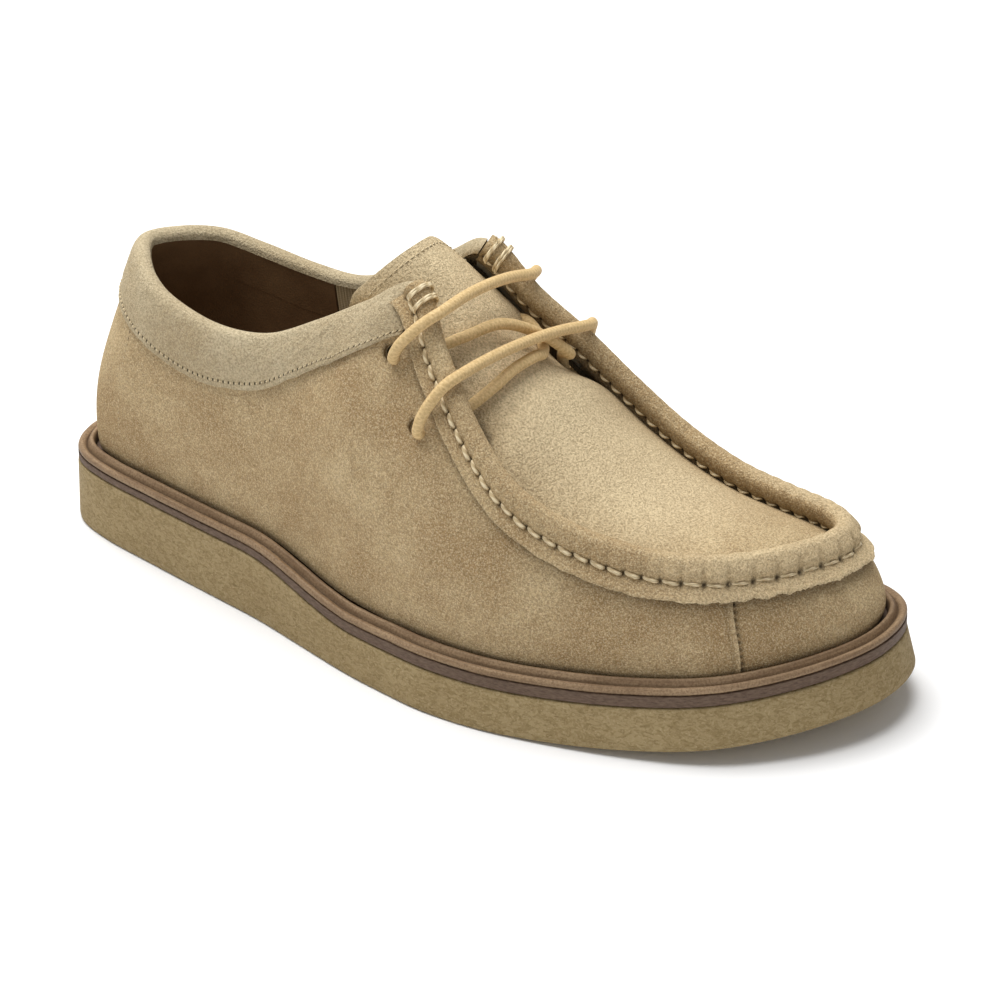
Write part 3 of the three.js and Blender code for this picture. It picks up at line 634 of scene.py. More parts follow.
def ring_layer(name, profile, material):
    """A solid layer whose edge follows profile(u): rows of (n, z function) from the top edge to the bottom.

    Its two faces are filled by strips across the shoe, from each station to the one opposite.
    """
    columns = profile(LOOP)
    rings = []
    for n, height in columns:
        xy = plan(LOOP, np.broadcast_to(n, LOOP.shape))
        rings.append(np.column_stack([xy, height(xy[:, 0])]))
    side = np.stack(rings, 1)
    rows, cols = side.shape[:2]
    points = [side.reshape(-1, 3)]
    faces = []
    for i in range(rows):
        k = (i + 1) % rows
        for j in range(cols - 1):
            faces.append((i * cols + j, k * cols + j, k * cols + j + 1, i * cols + j + 1))
    start = rows * cols
    half = rows // 2
    for column, height in ((0, columns[0][1]), (cols - 1, columns[-1][1])):
        ids = []
        for i in range(half + 1):
            a, b = side[i, column], side[(-i) % rows, column]
            ids.append([i * cols + column])
            if 0 < i < half:
                inner = mix(a, b, np.linspace(0, 1, CAP_COLUMNS)[1:-1, None])
                inner[:, 2] = height(inner[:, 0])
                points.append(inner)
                ids[-1] += list(range(start, start + len(inner)))
                start += len(inner)
                ids[-1].append(((-i) % rows) * cols + column)
        for i in range(half):
            a, b = ids[i], ids[i + 1]
            if len(a) == 1 or len(b) == 1:
                one, many = (a[0], b) if len(a) == 1 else (b[0], a)
                for m in range(len(many) - 1):
                    faces.append((one, many[m], many[m + 1]))
            else:
                for m in range(len(a) - 1):
                    faces.append((a[m], b[m], b[m + 1], a[m + 1]))
    return finish_mesh(new_object(name, np.concatenate(points), faces), 40, material)


def crepe_profile(u):
    """The crepe's edge, a little uneven between its two rounded corners."""
    flare = mix(*SOLE_FLARE, smooth(from_heel(u), 0, TOE))
    wander = 0.18 * ripple(u * 9, u * 3.1, 1.0)

    def edge(t):
        uneven = wander * math.sin(math.pi * t) * (1 + ripple(u * 5, 7 * t))
        return WELT_WIDTH + flare * t + uneven, lambda x: mix(z_crepe(x) - GAP, z_ground(x), t)

    return [(WELT_WIDTH - 0.7, lambda x: z_crepe(x) - GAP),
            (WELT_WIDTH - 0.1, lambda x: z_crepe(x) - GAP - 0.35),
            *(edge(t) for t in np.linspace(0.06, 0.93, 9)),
            (WELT_WIDTH + flare - 0.25, lambda x: z_ground(x) + 0.35),
            (WELT_WIDTH + flare - 0.9, z_ground)]


def midsole_profile(_):
    """The midsole's edge, the same all round: upright, with rounded corners."""
    return [(WELT_WIDTH - 0.9, lambda x: z_midsole(x) - GAP),
            (WELT_WIDTH - 0.45, lambda x: z_midsole(x) - GAP - 0.1),
            (WELT_WIDTH - 0.15, lambda x: z_midsole(x) - GAP - 0.4),
            (WELT_WIDTH - 0.15, lambda x: z_crepe(x) + 0.35),
            (WELT_WIDTH - 0.5, z_crepe)]


done(ring_layer("crepe_sole", crepe_profile, crepe), "outsole_crepe")
done(ring_layer("midsole_edge", midsole_profile, midsole_rubber), "midsole")


# across the welt, (out from the feather line, up): outer ridge, groove and raised bead
WELT_OUTLINE = [(7.2, 0.05), (7.35, 0.7), (7.1, 1.5), (6.5, 2.0), (5.7, 2.0), (5.0, 1.6), (4.55, 1.05),
                (4.3, 0.95), (4.0, 1.35), (3.7, 2.2), (3.2, 3.0), (2.6, 3.35), (2.0, 3.2), (1.5, 2.5),
                (1.2, 1.4)]


def welt():
    profile = resample(WELT_OUTLINE, 36)
    u = np.linspace(0, COUNT, 545)[:-1]
    rows = []
    for n, h in profile:
        xy = plan(u, np.full(u.shape, n + 0.06 * math.sin(n * 5)) + 0.07 * ripple(u * 8, u * 2.3, n))
        rows.append(np.column_stack([xy, z_midsole(xy[:, 0]) + h]))
    face = np.stack(rows, 1)
    back = face.copy()
    back[..., 2] = np.minimum(z_midsole(back[..., 0]) + 0.02, face[..., 2] - 0.02)
    # painted shade in the groove between ridge and bead, and along the foot against the upper
    groove = hump(profile[:, 0] - 4.35, 0.42) * (profile[:, 1] < 2.2)
    foot = hump(profile[:, 0] - 1.3, 0.35)
    shade = np.clip(groove + foot, 0, 1)
    return shell("storm_welt", face, back, welt_leather, 60, attributes={"shade": shade}, closed=True)


done(welt(), "welt")

# ---- quarters
QUARTER_ROW = 0.062                 # stations between two rows of points
LIP_DEPTH = 13.2                    # how far the flange's outer lip reaches down the wall
TOE_STATION = 15.5                  # mm in one station beside the toe seam
HEEL_STATION = 13                   # and beside the back seam


def quarter_top(u):
    """Depth of a quarter's hidden top edge: well under the collar's rim, less so under the flange."""
    return mix(7.0, 2.0, smooth(from_heel(u), THROAT - 0.35, THROAT + 0.1))


def hem_scale(u):
    """The flange is narrower beside the throat than round the toe."""
    return mix(0.84, 1.05, smooth(from_heel(u), 9, 13))


def toe_seam_lean(d):
    """Stations by which the upright toe seam leans from its place, at depth d."""
    return mix(-0.15, 0.08, smooth(d, 12, 36))


def hole_place(eye, mirror):
    """Station and depth of a punched hole, from where the lace goes through."""
    return eye[0] + (-HOLE_SHIFT[0] if mirror else HOLE_SHIFT[0]), eye[1] + HOLE_SHIFT[1]


def punch(grids, eyelets, mirror):
    """Opens the eyelets in a piece's grids: cells inside a hole go, points round it move onto its circle."""
    rows, cols = grids[0].shape[0] - 1, grids[0].shape[1] - 1
    keep = np.ones((rows, cols), bool)
    corners = [(a, b) for a in (0, 1) for b in (0, 1)]
    for eye in eyelets:
        eye_u, eye_d = hole_place(eye, mirror)
        axis = normal(np.array(eye_u), 1 - np.interp(eye_d, section(eye_u), SHARES))
        centre = skin(eye_u, eye_d, 0.0)

        def flat(points):
            offset = points - centre
            return offset - (offset @ axis)[..., None] * axis

        middle = 0.25 * sum(grids[0][a:a + rows, b:b + cols] for a, b in corners)
        hole = np.linalg.norm(flat(middle), axis=2) < EYELET
        # cells elsewhere on the shoe can lie in line with the hole too
        hole &= np.linalg.norm(middle - centre, axis=2) < 12
        keep &= ~hole
        by_hole, by_leather = np.zeros((2, rows + 1, cols + 1), bool)
        for a, b in corners:
            by_hole[a:rows + a, b:cols + b] |= hole
            by_leather[a:rows + a, b:cols + b] |= keep
        rim = by_hole & by_leather
        for grid in grids:
            side = flat(grid[rim])
            grid[rim] += side * (EYELET / np.linalg.norm(side, axis=1) - 1)[:, None]
    return keep


def quarter(name, start, end, eyelets, mirror):
    """One side of the upper, from the back seam to the toe seam; mirror is the medial one."""
    u0 = np.linspace(start, end, int(round((end - start) / QUARTER_ROW)) + 1)
    t = np.linspace(0, 1, 66)
    depth = wall_depth(u0)[:, None]
    d = quarter_top(u0)[:, None] * (1 - t) + depth * 0.985 * t
    u = u0[:, None] + toe_seam_lean(d) * hump(u0[:, None] - TOE_SEAM, 1.2)
    # soft waves in the wall, which turns in at its foot
    toe = smooth(from_heel(u0), 12.5, 14.5)[:, None]
    n = 0.28 * ripple(station(u0)[:, :1] * 0.085, d * 0.11, 0.6) * smooth(d, 8, 20)
    n = n - 0.35 * hump(depth - d, 2.2) + 0.18 * toe * np.sin(u0 * 11.0)[:, None] * hump(d - 17, 6)
    # one leather ends in a low ridge along the toe seam, the other dips under it; the heel's seam is a dip
    reach = np.abs(u0 - TOE_SEAM)[:, None] * TOE_STATION
    n = n - 0.75 * hump(reach, 0.9) if mirror else n + 0.7 * hump(reach - 0.5, 0.85)
    n = n - 0.4 * hump(from_heel(u0)[:, None] * HEEL_STATION, 0.8)
    edge = (0 if mirror else 0.75) * hump(reach - 0.4, 0.7)
    # the leather is pressed in round each hole, and pit paints shade just round its rim
    flat_face = skin(u, d, 0.0)
    pit = np.zeros(d.shape)
    for eye in eyelets:
        away = np.linalg.norm(flat_face - skin(*hole_place(eye, mirror), 0.0), axis=2) - EYELET
        n = n - 0.7 * hump(away, 1.7)
        pit = np.maximum(pit, hump(np.clip(away, 0, None), 0.45))
    face, back = skin(u, d, n), skin(u, d, n - SUEDE)
    keep = punch((face, back), eyelets, mirror)
    # painted shade along the toe seam: dots at the stitch holes on the medial side, a thin line beside the
    # lateral ridge
    if mirror:
        beads = 0.5 + 0.5 * np.cos(d * 2 * math.pi / 2.4)
        toe_seam_shade = 0.75 * beads * hump(reach - 0.4, 0.45)
    else:
        toe_seam_shade = 0.25 * hump(reach - 1.9, 0.5)
    # painted shadow under the flange's lip
    lip_shadow = 0.42 * hump(d - LIP_DEPTH * hem_scale(u0)[:, None], 1.8)
    lip_shadow = lip_shadow * smooth(from_heel(u0), THROAT - 0.1, THROAT + 0.3)[:, None]
    # painted shade in the gap at the wall's foot, along the toe seam, under the lip and round the eyelets
    shade = np.clip(0.55 * hump(depth - d, 1.4) + toe_seam_shade + lip_shadow + 0.6 * pit, 0, 1)
    return shell(name, face, back, suede_material, keep=keep, attributes={"edge": edge, "shade": shade})


done(quarter("quarter_outer_side", 0.02, TOE_SEAM - 0.012, LATERAL_EYELETS, False),
     "quarter_lateral")
done(quarter("quarter_inner_side", TOE_SEAM - 0.03, COUNT - 0.02, MEDIAL_EYELETS, True),
     "quarter_medial")

# ---- the hand-sewn seam
SEAM_START, SEAM_END = THROAT + 0.12, COUNT - THROAT - 0.12
STITCH_D, INNER_STITCH_D = 7.5, 5.5
STITCH_PITCH, TOE_STITCH_PITCH = 5.4, 8.0


def seam_line(u):
    """The line on the flange that the stitch holes lie on."""
    return skin(u, STITCH_D * hem_scale(u), 1.5)


def hole_stations():
    """Stations of the stitch holes, evenly spaced beside the throat and wider round the toe."""
    u = np.linspace(SEAM_START, SEAM_END, 1500)
    step = np.diff(arc_length(seam_line(u)))
    middle = 0.5 * (u[1:] + u[:-1])
    toe = smooth(middle, 12.6, 14.6) * (1 - smooth(middle, 17.6, 19.2))
    count = np.concatenate([[0], np.cumsum(step / mix(STITCH_PITCH, TOE_STITCH_PITCH, toe))])
    total = int(count[-1])
    return np.interp(np.arange(total + 1) * count[-1] / total, count, u)


HOLES = hole_stations()


def hole_distance(u):
    """Distance in mm along the seam from each station to the nearest stitch hole."""
    fine = np.linspace(SEAM_START - 0.3, SEAM_END + 0.3, 2400)
    s = arc_length(seam_line(fine))
    at, holes = np.interp(u, fine, s), np.interp(HOLES, fine, s)
    return np.min(np.abs(at[:, None] - holes[None]), axis=1)


# across the hem, (depth, out): from the lip's edge up its outer face, over the crest and down the inner leg
HEM_FACE = [(12.7, 2.2), (13, 2.75), (12.2, 2.9), (10.5, 2.2), (8.7, 1.45), (7.5, 1.2), (6.3, 1.75),
            (4.6, 2.6), (2, 2.5), (-0.3, 1.4), (-1.2, -1.1), (-0.3, -3.5), (2, -4.65), (5, -4.75),
            (7.5, -4.4)]
HEM_BACK = [(12.5, 1.6), (12, 1.3), (11, 1.0), (10.5, 0.75), (8.7, 0.4), (7.5, 0.3), (6.3, 0.5), (4.6, 1.0),
            (2, 0.9), (0.9, 0.2), (0.4, -1.1), (0.9, -2.3), (2, -3.05), (5, -3.1), (7.5, -2.9)]
# and its inner leg's longer end, beside the tongue
LEG_FACE = [(8.6, -4.75), (10.2, -4.9), (11.6, -4.7)]
LEG_BACK = [(8.6, -3.2), (10.2, -3.4), (11.6, -3.5)]


def leg_share(u):
    """How much of the flange's inner leg shows below the stitches: all by the tongue, none at the toe."""
    return 1 - smooth(u, SLIT - 0.6, 14.0)


def hem():
    """The apron's edge, rolled over the quarters' edge as a flange that the stitches pull in."""
    u = np.linspace(THROAT, COUNT - THROAT, 900)
    gap = hole_distance(u)[:, None]
    toe = smooth(from_heel(u), 12.3, 14.3)[:, None]
    leg = leg_share(from_heel(u))[:, None]
    scale = hem_scale(u)[:, None]
    count = 84
    index = np.arange(count) / (count - 1)
    outer = index < 0.5

    def stitched(d, n):
        """The face's relief: dents at the holes, leather puffed up between them."""
        hole, puff = hump(gap, 0.8), 1 - hump(gap, 1.5)
        groove = hump(d - STITCH_D, 1.3)
        out = -0.85 * hole * groove - 0.3 * groove
        out = out - (0.9 * mix(0.3, 1.0, toe) * hump(gap, 0.9)
                     * smooth(d, -0.5, 6.0) * smooth(-d, -7.6, -5.5))
        out = out + 0.5 * mix(0.45, 1.0, toe) * puff * hump(d - 5.0, 2.0)
        out = out + 0.25 * toe * puff * hump(d - 9.8, 1.6)
        inside = 0.5 * hole * hump(d - 5.6, 1.3) - 0.3 * puff * hump(d - 3.6, 1.8)
        n = n + np.where(outer, out, np.where(d > 2, inside, 0))
        return d + 0.35 * hump(d + 0.2, 1.6) * mix(0.4, 1.0, toe) * hump(gap, 1.4), n

    def grid(line, is_face):
        d, n = (np.tile(column, (len(u), 1)) for column in resample(line, count).T)
        d = d - np.where((index > 0.8) & (d > STITCH_D), d - STITCH_D, 0) * (1 - leg)
        lip = np.where(outer, smooth(d, 9.5, 13), 0)
        if is_face:
            d, n = stitched(d, n)
        wave = 0.5 * ripple(u * 13, u * 5, 2.0) + 0.25 * ripple(u * 41, u * 17, 1.0)
        n = n + lip * 0.35 * ripple(u * 7, u * 3, 4.0)[:, None] * mix(0.5, 1.2, toe)
        d = d + lip * wave[:, None] * mix(0.45, 1.0, toe) - lip * 0.35 * toe * hump(gap, 2.0)
        return d, n

    d, n = grid(HEM_FACE + LEG_FACE, True)
    back_d, back_n = grid(HEM_BACK + LEG_BACK, False)
    face, back = skin(u[:, None], d * scale, n), skin(u[:, None], back_d * scale, back_n)
    # painted shade in the stitch holes, on the outer face and on the inner leg
    shade = np.where(outer, hump(gap, 0.85) * hump(d - STITCH_D, 1.0), hump(gap, 0.75) * hump(d - 5.7, 1.1))
    # painted shade over the flange's inner face, more down the leg beside the tongue
    deep = np.where(index > 0.6, 0.36 * smooth(d, -1, 3) + 0.15 * smooth(d, 8, 11.6) * leg, 0)
    # paler at the lip's cut edge, and a painted highlight along the crest
    edge = np.maximum(hump(index, 0.025), 0.2 * hump(d + 0.2, 1.2) * (index < 0.7))
    # painted light: the outer face round the toe paler, as lit from above
    return shell("apron_flange", face, back, suede_material, 55, attributes={
        "edge": edge, "shade": np.clip(shade + deep, 0, 1), "pale": 0.45 * toe * (index < 0.6)})


done(hem(), "apron")

STITCH_SINK = 1.2


def seam_stitches(name, row_d, row_n, outer):
    """Stitches that rise out of one hole, lie along the seam and dive into the next."""
    runs = []
    swell = np.clip(np.sin(math.pi * np.linspace(0, 1, 13)), 0, 1)
    for k, (a, b) in enumerate(zip(HOLES[:-1], HOLES[1:])):
        toe = float(smooth(min(a, COUNT - b), 12.3, 14.5))
        u = np.linspace(mix(a, b, 0.1), mix(a, b, 0.9), 13)
        # each stitch leans a little, and no two lie quite alike
        lean = 0.35 * np.linspace(-1, 1, 13) * (1 if outer else 0.6) * (1 - 0.6 * toe)
        d = row_d * hem_scale(u) + lean + 0.16 * math.sin(k * 2.3) + 0.1 * math.sin(k * 5.1)
        base = skin(u, d, row_n)
        out = skin(u, d, row_n + (1 if outer else -1)) - base
        thick = mix(0.76, 0.46, toe) * (1 if outer else 0.8) * (1 + 0.06 * math.sin(k * 3.7))
        lift = (0.4 if outer else 0.2) + 0.08 * math.sin(k * 1.9)
        height = (lift + STITCH_SINK) * swell ** 0.5 - STITCH_SINK
        runs.append((base + out * height[:, None], thick * (0.55 + 0.45 * swell ** 0.6)))
    return tubes(name, runs, cream_thread, 10)


done(seam_stitches("hand_stitches_outer", STITCH_D, 1.15, True), "moc_thread_outer")
done(seam_stitches("hand_stitches_inner", INNER_STITCH_D, -4.85, False),
     "moc_thread_inner")

# over the flange's end, (depth, out)
WRAP = [(7.3, 1.0), (6.2, 2.6), (4.4, 3.5), (2, 3.4), (-0.6, 2.35), (-2.0, -0.2), (-1.8, -2.7), (-0.2, -4.8),
        (2, -5.6), (4.5, -5.6), (6.2, -4.8)]


def seam_wraps(name, holes, side):
    """Strands that go over the flange at the end of the seam, from the first two holes, and the cut ends."""
    runs = []
    d, n = spline(WRAP, np.linspace(0, len(WRAP) - 1, 60)).T
    t = np.linspace(0, 1, 60)
    for k in (0, 1):
        for strand in (0, 1):
            lean = side * (0.035 * (strand - 0.5) + 0.05 * (t - 0.5) + 0.012 * np.sin(5 * t + 2 * k + strand))
            u = holes[k] + side * (0.06 if k == 0 else 0.0) + lean
            lift = 0.1 * strand + 0.12 * np.sin(6 * t + strand * 2 + k)
            runs.append((skin(u, d * hem_scale(holes[k]), n + np.sign(n) * lift), 0.5))
    t = np.linspace(0, 1, 12)
    for k in range(5):
        u = holes[0] + side * (0.02 + 0.018 * k - 0.07 * t)
        end_d = -0.4 - (2.2 + 0.7 * math.sin(k * 2.1)) * t ** 0.8
        end_n = 0.4 - 1.3 * k / 4 + (0.9 * math.sin(k * 1.7)) * t * t
        runs.append((skin(u, end_d, end_n), 0.26 * (1 - 0.6 * t)))
    return tubes(name, runs, cream_thread, 10)


done(seam_wraps("seam_end_outer_side", HOLES[:3], 1), "seam_wrap_lateral")
done(seam_wraps("seam_end_inner_side", HOLES[::-1][:3], -1), "seam_wrap_medial")

# ---- panel and tongue, one leather
# how far the panel's middle rises over its edges, (station, mm)
CROWNS = np.array([(10.6, 13), (11.5, 11), (12.5, 9), (13.5, 7.5), (14.5, 5.4), (15.5, 2.5), (16.3, 0.8),
                   (17, 0)])
PANEL_STATIONS = (16.97, 16.6, 16.2, 15.7, 15.1, 14.5, 13.8, 13, 12.2, 11.4, 10.7)
TONGUE_SHARES = (0.12, 0.26, 0.4, 0.54, 0.68, 0.82, 0.93, 1.0)
PANEL_COLUMNS = 71
ACROSS = np.linspace(-1, 1, PANEL_COLUMNS)
LEG_DEEPER = 3.4                    # how much deeper the panel's edge lies beside the tongue's root


def tongue_point(t, s, n):
    """Point of the tongue at share t of its length and s across, -1 to 1, sunk by n."""
    x, y, z = spline(TONGUE_LINE, t * (len(TONGUE_LINE) - 1))[0]
    medial = s > 0
    half = mix(29, 17.6, smooth(t, 0, 0.9)) + np.where(medial, 2.6 * smooth(t, 0.3, 0.6), 0)
    drop = mix(9.5, 12.5, smooth(t, 0, 0.4)) - np.where(medial, 4.5 * smooth(t, 0.3, 0.55), 0)
    sweep = np.where(medial, 6, 14) * s * s * t * t
    return np.stack([x - 0.4 - sweep - n * 0.6, y + half * s, z - drop * s * s - n * 0.8], -1)


def round_corner(t, s, n):
    """How far the free end's corners are cut back along the tongue."""
    flat = np.clip(s, -1, 1)
    along = unit(tongue_point(max(t - 0.02, 0), flat, n) - tongue_point(t, flat, n))
    corner = np.clip((np.abs(s) - 0.3) / 0.8, 0, 1)
    return along * (np.where(s > 0, 12, 2) * corner ** 2 * smooth(t, 0.78, 1.0))[:, None]


def tongue_row(t, n):
    """A row of the tongue across; its sides go on down inside the collar, its free corners are rounded."""
    s = ACROSS * mix(1.0, 1.18, smooth(t, 0.2, 0.7))
    flat = np.clip(s, -1, 1)
    over = np.abs(s) - np.abs(flat)
    turned = over[:, None] * np.stack([np.full(s.shape, -30 * t * t), np.where(s > 0, 9, 10),
                                       np.where(s > 0, -48, -62)], -1)
    return tongue_point(t, flat, n) + turned + round_corner(t, s, n)


def panel_row(u, n):
    """A row of the panel between the flange's two inner legs, crowned and sunk by n."""
    deep = LEG_DEEPER * float(leg_share(u))
    ends = [skin(w, (7.3 + deep) * hem_scale(w), -4.2) for w in (u, COUNT - u)]
    row = mix(*ends, (ACROSS[:, None] + 1) / 2)
    lift = np.interp(u, *CROWNS.T) + 0.9 * deep
    # flatter in the middle, falling faster towards the seam
    row[:, 2] += lift * (1 - np.abs(ACROSS) ** 2.3) - n
    return row


def panel_and_tongue():
    """One sheet from the toe to the tongue's free end."""
    def sheet_at(n):
        return [panel_row(u, n) for u in PANEL_STATIONS] + [tongue_row(share, n) for share in TONGUE_SHARES]

    t = np.linspace(0, len(PANEL_STATIONS) + len(TONGUE_SHARES) - 1, 210)
    face, back = spline(sheet_at(0.0), t), spline(sheet_at(SUEDE + 0.15), t)
    x, y = face[..., 0], face[..., 1]
    swell = 0.3 * ripple(x * 0.09, y * 0.11, 1.4) * (1 - ACROSS ** 2)
    face[..., 2] += swell
    back[..., 2] += swell
    side = np.abs(ACROSS)
    free = smooth(t, 10.2, 11)[:, None]
    edge = np.maximum(free * hump(1 - side, 0.02), hump(t[-1] - t, 0.1)[:, None])
    # painted light: paler across the middle of the panel and tongue, less so towards the toe
    pale = (1 - side ** 3) * mix(0.95, 0.85, smooth(x, 185, 215)) * (1 - 0.8 * smooth(x, 225, 262))
    # painted shade along the panel's edges by the seam, and on the tongue's sides down inside the collar
    seam_edge_shade = (1 - free) * 0.45 * hump(1 - side, 0.035)
    collar_side_shade = 0.75 * free * smooth(side, 0.84, 0.98) * (1 - 0.6 * smooth(t, 15.5, 17.5))[:, None]
    return shell("apron_and_tongue", face, back, suede_material, attributes={
        "edge": edge, "shade": np.maximum(seam_edge_shade, collar_side_shade), "pale": pale})


sheet = panel_and_tongue()
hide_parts("tongue")
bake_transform(sheet)


def tongue_lining():
    s = np.linspace(-0.9, 0.8, 41)
    rows = np.linspace(0.03, 0.975, 50)
    face, back = (np.stack([tongue_point(t, s, n) + round_corner(t, s, n) for t in rows]) for n in (2.1, 3.0))
    return shell("tongue_backing", face, back, textile)


done(tongue_lining(), "tongue_lining", "tongue")


# ---- fine stitch rows
def fine_stitches(name, path, out, pitch, radius, material, share=0.62):
    """Small stitches along a path, each lifted along out; share is how much of the pitch one fills."""
    s = arc_length(path)
    count = max(int(s[-1] / pitch), 1)
    swell = np.sin(math.pi * np.linspace(0, 1, 6))
    runs = []
    for k in range(count):
        at = (k + np.linspace(0.5 - share / 2, 0.5 + share / 2, 6)) * s[-1] / count
        lifted = unit(along_line(at, s, out)) * (swell * 0.28 - 0.14)[:, None]
        runs.append((along_line(at, s, path) + lifted, radius * (0.6 + 0.4 * swell)))
    return tubes(name, runs, material, 6)


def tongue_stitches():
    """A row just inside the tongue's edge: up one side, across the free end and down the other."""
    def at(t, c, n):
        return along_line(c, ACROSS, tongue_row(t, n))

    path = ([(t, -0.9) for t in np.linspace(0.7, 0.94, 14)] + [(0.955, -0.82)]
            + [(0.96, c) for c in np.linspace(-0.74, 0.74, 46)]
            + [(0.955, 0.82)] + [(t, 0.9) for t in np.linspace(0.94, 0.7, 14)])
    base = np.array([at(t, c, 0.0) for t, c in path])
    out = np.array([at(t, c, -1.0) for t, c in path]) - base
    return fine_stitches("tongue_stitches", base + out * 0.12, out, 2.2, 0.28, pale_fine_thread)


done(tongue_stitches(), "tongue_thread", "tongue")

# ---- collar
# across the band, (depth, out): from its lower edge up the outer face and over the rim
COLLAR_FACE = [(19.6, 0.7), (20, 1.15), (19.3, 1.5), (17, 1.45), (13, 1.75), (8, 1.75), (4, 1.25), (1.4, 0.5),
               (0.2, -0.7), (0, -1.9), (0.3, -3.3), (1.2, -4.5), (3, -5.2)]
COLLAR_BACK = [(19.4, 0.35), (18.5, 0.3), (17, 0.3), (15, 0.3), (13, 0.3), (8, 0.25), (5, 0.1), (2.8, -0.5),
               (1.7, -1.3), (1.4, -2.0), (1.6, -2.9), (2.1, -3.5), (3, -3.95)]
COLLAR_EDGE = [(0, 20), (2.7, 21), (3.6, 21), (4.8, 18.9), (5.6, 19.2), (6.2, 20.7), (6.8, 23.9), (7.2, 27),
               (7.5, 29.7), (7.75, 30.8), (7.95, 29.2), (8.14, 24.8), (8.32, 17.8), (8.55, 9)]
COLLAR_REACH = 8.42                 # the band's lower part runs on under the flange
COLLAR_STITCH_INSET, COLLAR_STITCH_PITCH = 2.4, 2.3


def collar_rows(count):
    """Stations along the band, negative on the medial side, with one on each end of its rim."""
    u = np.linspace(-COLLAR_REACH, COLLAR_REACH, count)
    snap = np.abs(np.abs(u) - COLLAR_END) < 0.6 * (u[1] - u[0])
    return np.where(snap, np.sign(u) * COLLAR_END, u)


def collar_edge(u):
    """Depth of the band's lower edge: it widens towards the throat and runs up under the flange's lip."""
    line = spline(COLLAR_EDGE, np.linspace(0, len(COLLAR_EDGE) - 1, 400))
    return np.interp(np.abs(u), line[:, 0], line[:, 1])


def collar():
    """The padded band over the rim, creased, and with painted shade where its needle holes are."""
    u = collar_rows(470)
    count = 52
    index = np.arange(count) / (count - 1)
    lower = collar_edge(u)[:, None]
    tuck = smooth(np.abs(u), COLLAR_END, COLLAR_END + 0.03)[:, None]

    def grid(line, puff):
        d, n = (np.tile(column, (len(u), 1)) for column in resample(line, count).T)
        d = np.where(d > 5, 5 + (d - 5) * ((lower - 5) / 15), d)
        # soft creases across the padded rim
        v = u[:, None]
        crease = 0.3 * ripple(v * 2.2, d * 0.25 + v * 0.8, 0.3) + 0.16 * ripple(v * 7, d * 0.6, 2.0)
        n = n + hump(d - 8, 6) * puff * crease + puff * 0.1 * ripple(v * 12, d * 0.9, 1.0) * smooth(d, 3, 8)
        d = d + smooth(d, 18, 20) * puff * 0.2 * ripple(u * 9, u * 4, 3.0)[:, None]
        # under the flange there is no rim left: the band ends flat beneath the lip
        d = np.where(index > 0.25, mix(d, np.maximum(d, 8.2), tuck), d)
        n = mix(n, np.minimum(n, 0.95 if puff else 0.3), tuck * (1 - smooth(d, 11, 12.5)))
        n = mix(n, np.maximum(n, 0.9 if puff else 0.25), tuck * (index > 0.4))
        return d, n

    d, n = grid(COLLAR_FACE, 1.0)
    face = skin((u % COUNT)[:, None], d, n)
    back = skin((u % COUNT)[:, None], *grid(COLLAR_BACK, 0.0))
    # for the painted shade of the needle holes: stitches counted along the band, and distance from their row
    row_d = collar_edge(u) - COLLAR_STITCH_INSET
    s = arc_length(skin(u % COUNT, row_d, 1.5))
    beat = s / s[-1] * int(s[-1] / COLLAR_STITCH_PITCH)
    off = np.where(index < 0.45, np.abs(d - row_d[:, None]), 9)
    # painted highlight: paler along the top of the rim
    return shell("collar_band_suede", face, back, collar_material, 55, attributes={
        "edge": hump(index, 0.025), "beat": beat[:, None], "off": off, "pale": 0.35 * hump(d - 0.5, 2.5)})


done(collar(), "collar_band")


def wall_stitches(name, u, d, n=0.0, pitch=2.4, radius=0.2, material=tan_thread, share=0.5):
    """Fine stitches on the wall along stations u and depths d, n out from it."""
    base = skin(u, d, n)
    return fine_stitches(name, base, skin(u, d, n + 1) - base, pitch, radius, material, share)


row = np.linspace(0, 1, 40)
toe_depth = mix(15, 34, row)
band = collar_rows(520)
done(wall_stitches("collar_stitches", band % COUNT, collar_edge(band) - COLLAR_STITCH_INSET, 1.5,
                   COLLAR_STITCH_PITCH, 0.3, pale_fine_thread, 0.62), "collar_thread")
done(wall_stitches("counter_stitches_outer_side", mix(1.8, 2.1, row), mix(22, 64, row)),
     "counter_thread_lateral")
done(wall_stitches("counter_stitches_inner_side", COUNT - mix(1.8, 2.1, row), mix(22, 64, row)),
     "counter_thread_medial")
done(wall_stitches("back_seam_stitches", 0 * row + 0.07, mix(22, 70, row)),
     "back_seam_thread")
done(wall_stitches("toe_seam_stitches", TOE_SEAM - 0.035 + toe_seam_lean(toe_depth), toe_depth),
     "toe_seam_thread")

# ---- linings
STIFF_OUT = -(SUEDE + 1.3 * GAP)    # faces of the layers, out from the wall
STIFF = 1.2
LINE_OUT = STIFF_OUT - STIFF - 1.5 * GAP
FORE_OUT = -3.7


def lining(name, ends, top, bottom, out, material, cells, eyelets=(), mirror=False, thick=LINING):
    """A layer between two stations and two depths; a depth is a number or a function of the station."""
    u = np.linspace(*ends, cells[0])
    t = np.linspace(0, 1, cells[1])
    top, bottom = (depth(u)[:, None] if callable(depth) else depth for depth in (top, bottom))
    d = top * (1 - t) + bottom * t
    n = out + 0.1 * ripple(u[:, None] * 2.3, d * 0.13, 0.9)
    station_u = (u % COUNT)[:, None]
    face, back = skin(station_u, d, n - thick), skin(station_u, d, n)
    uv = arc_grid(face)
    keep = punch((face, back), eyelets, mirror)
    # the space beside the tongue is deep: painted shade darkens the cloth there
    shade = 0.9 * smooth(from_heel(station_u), 7.1, 7.9)
    return shell(name, face, back, material, keep=keep, uv=uv, attributes={"shade": shade})


def strip_bottom(u):
    return wall_depth(u % COUNT) - 2.9


def fore_top(u):
    return mix(3.2, 15.0, smooth(from_heel(u), THROAT - 0.9, THROAT - 0.1))


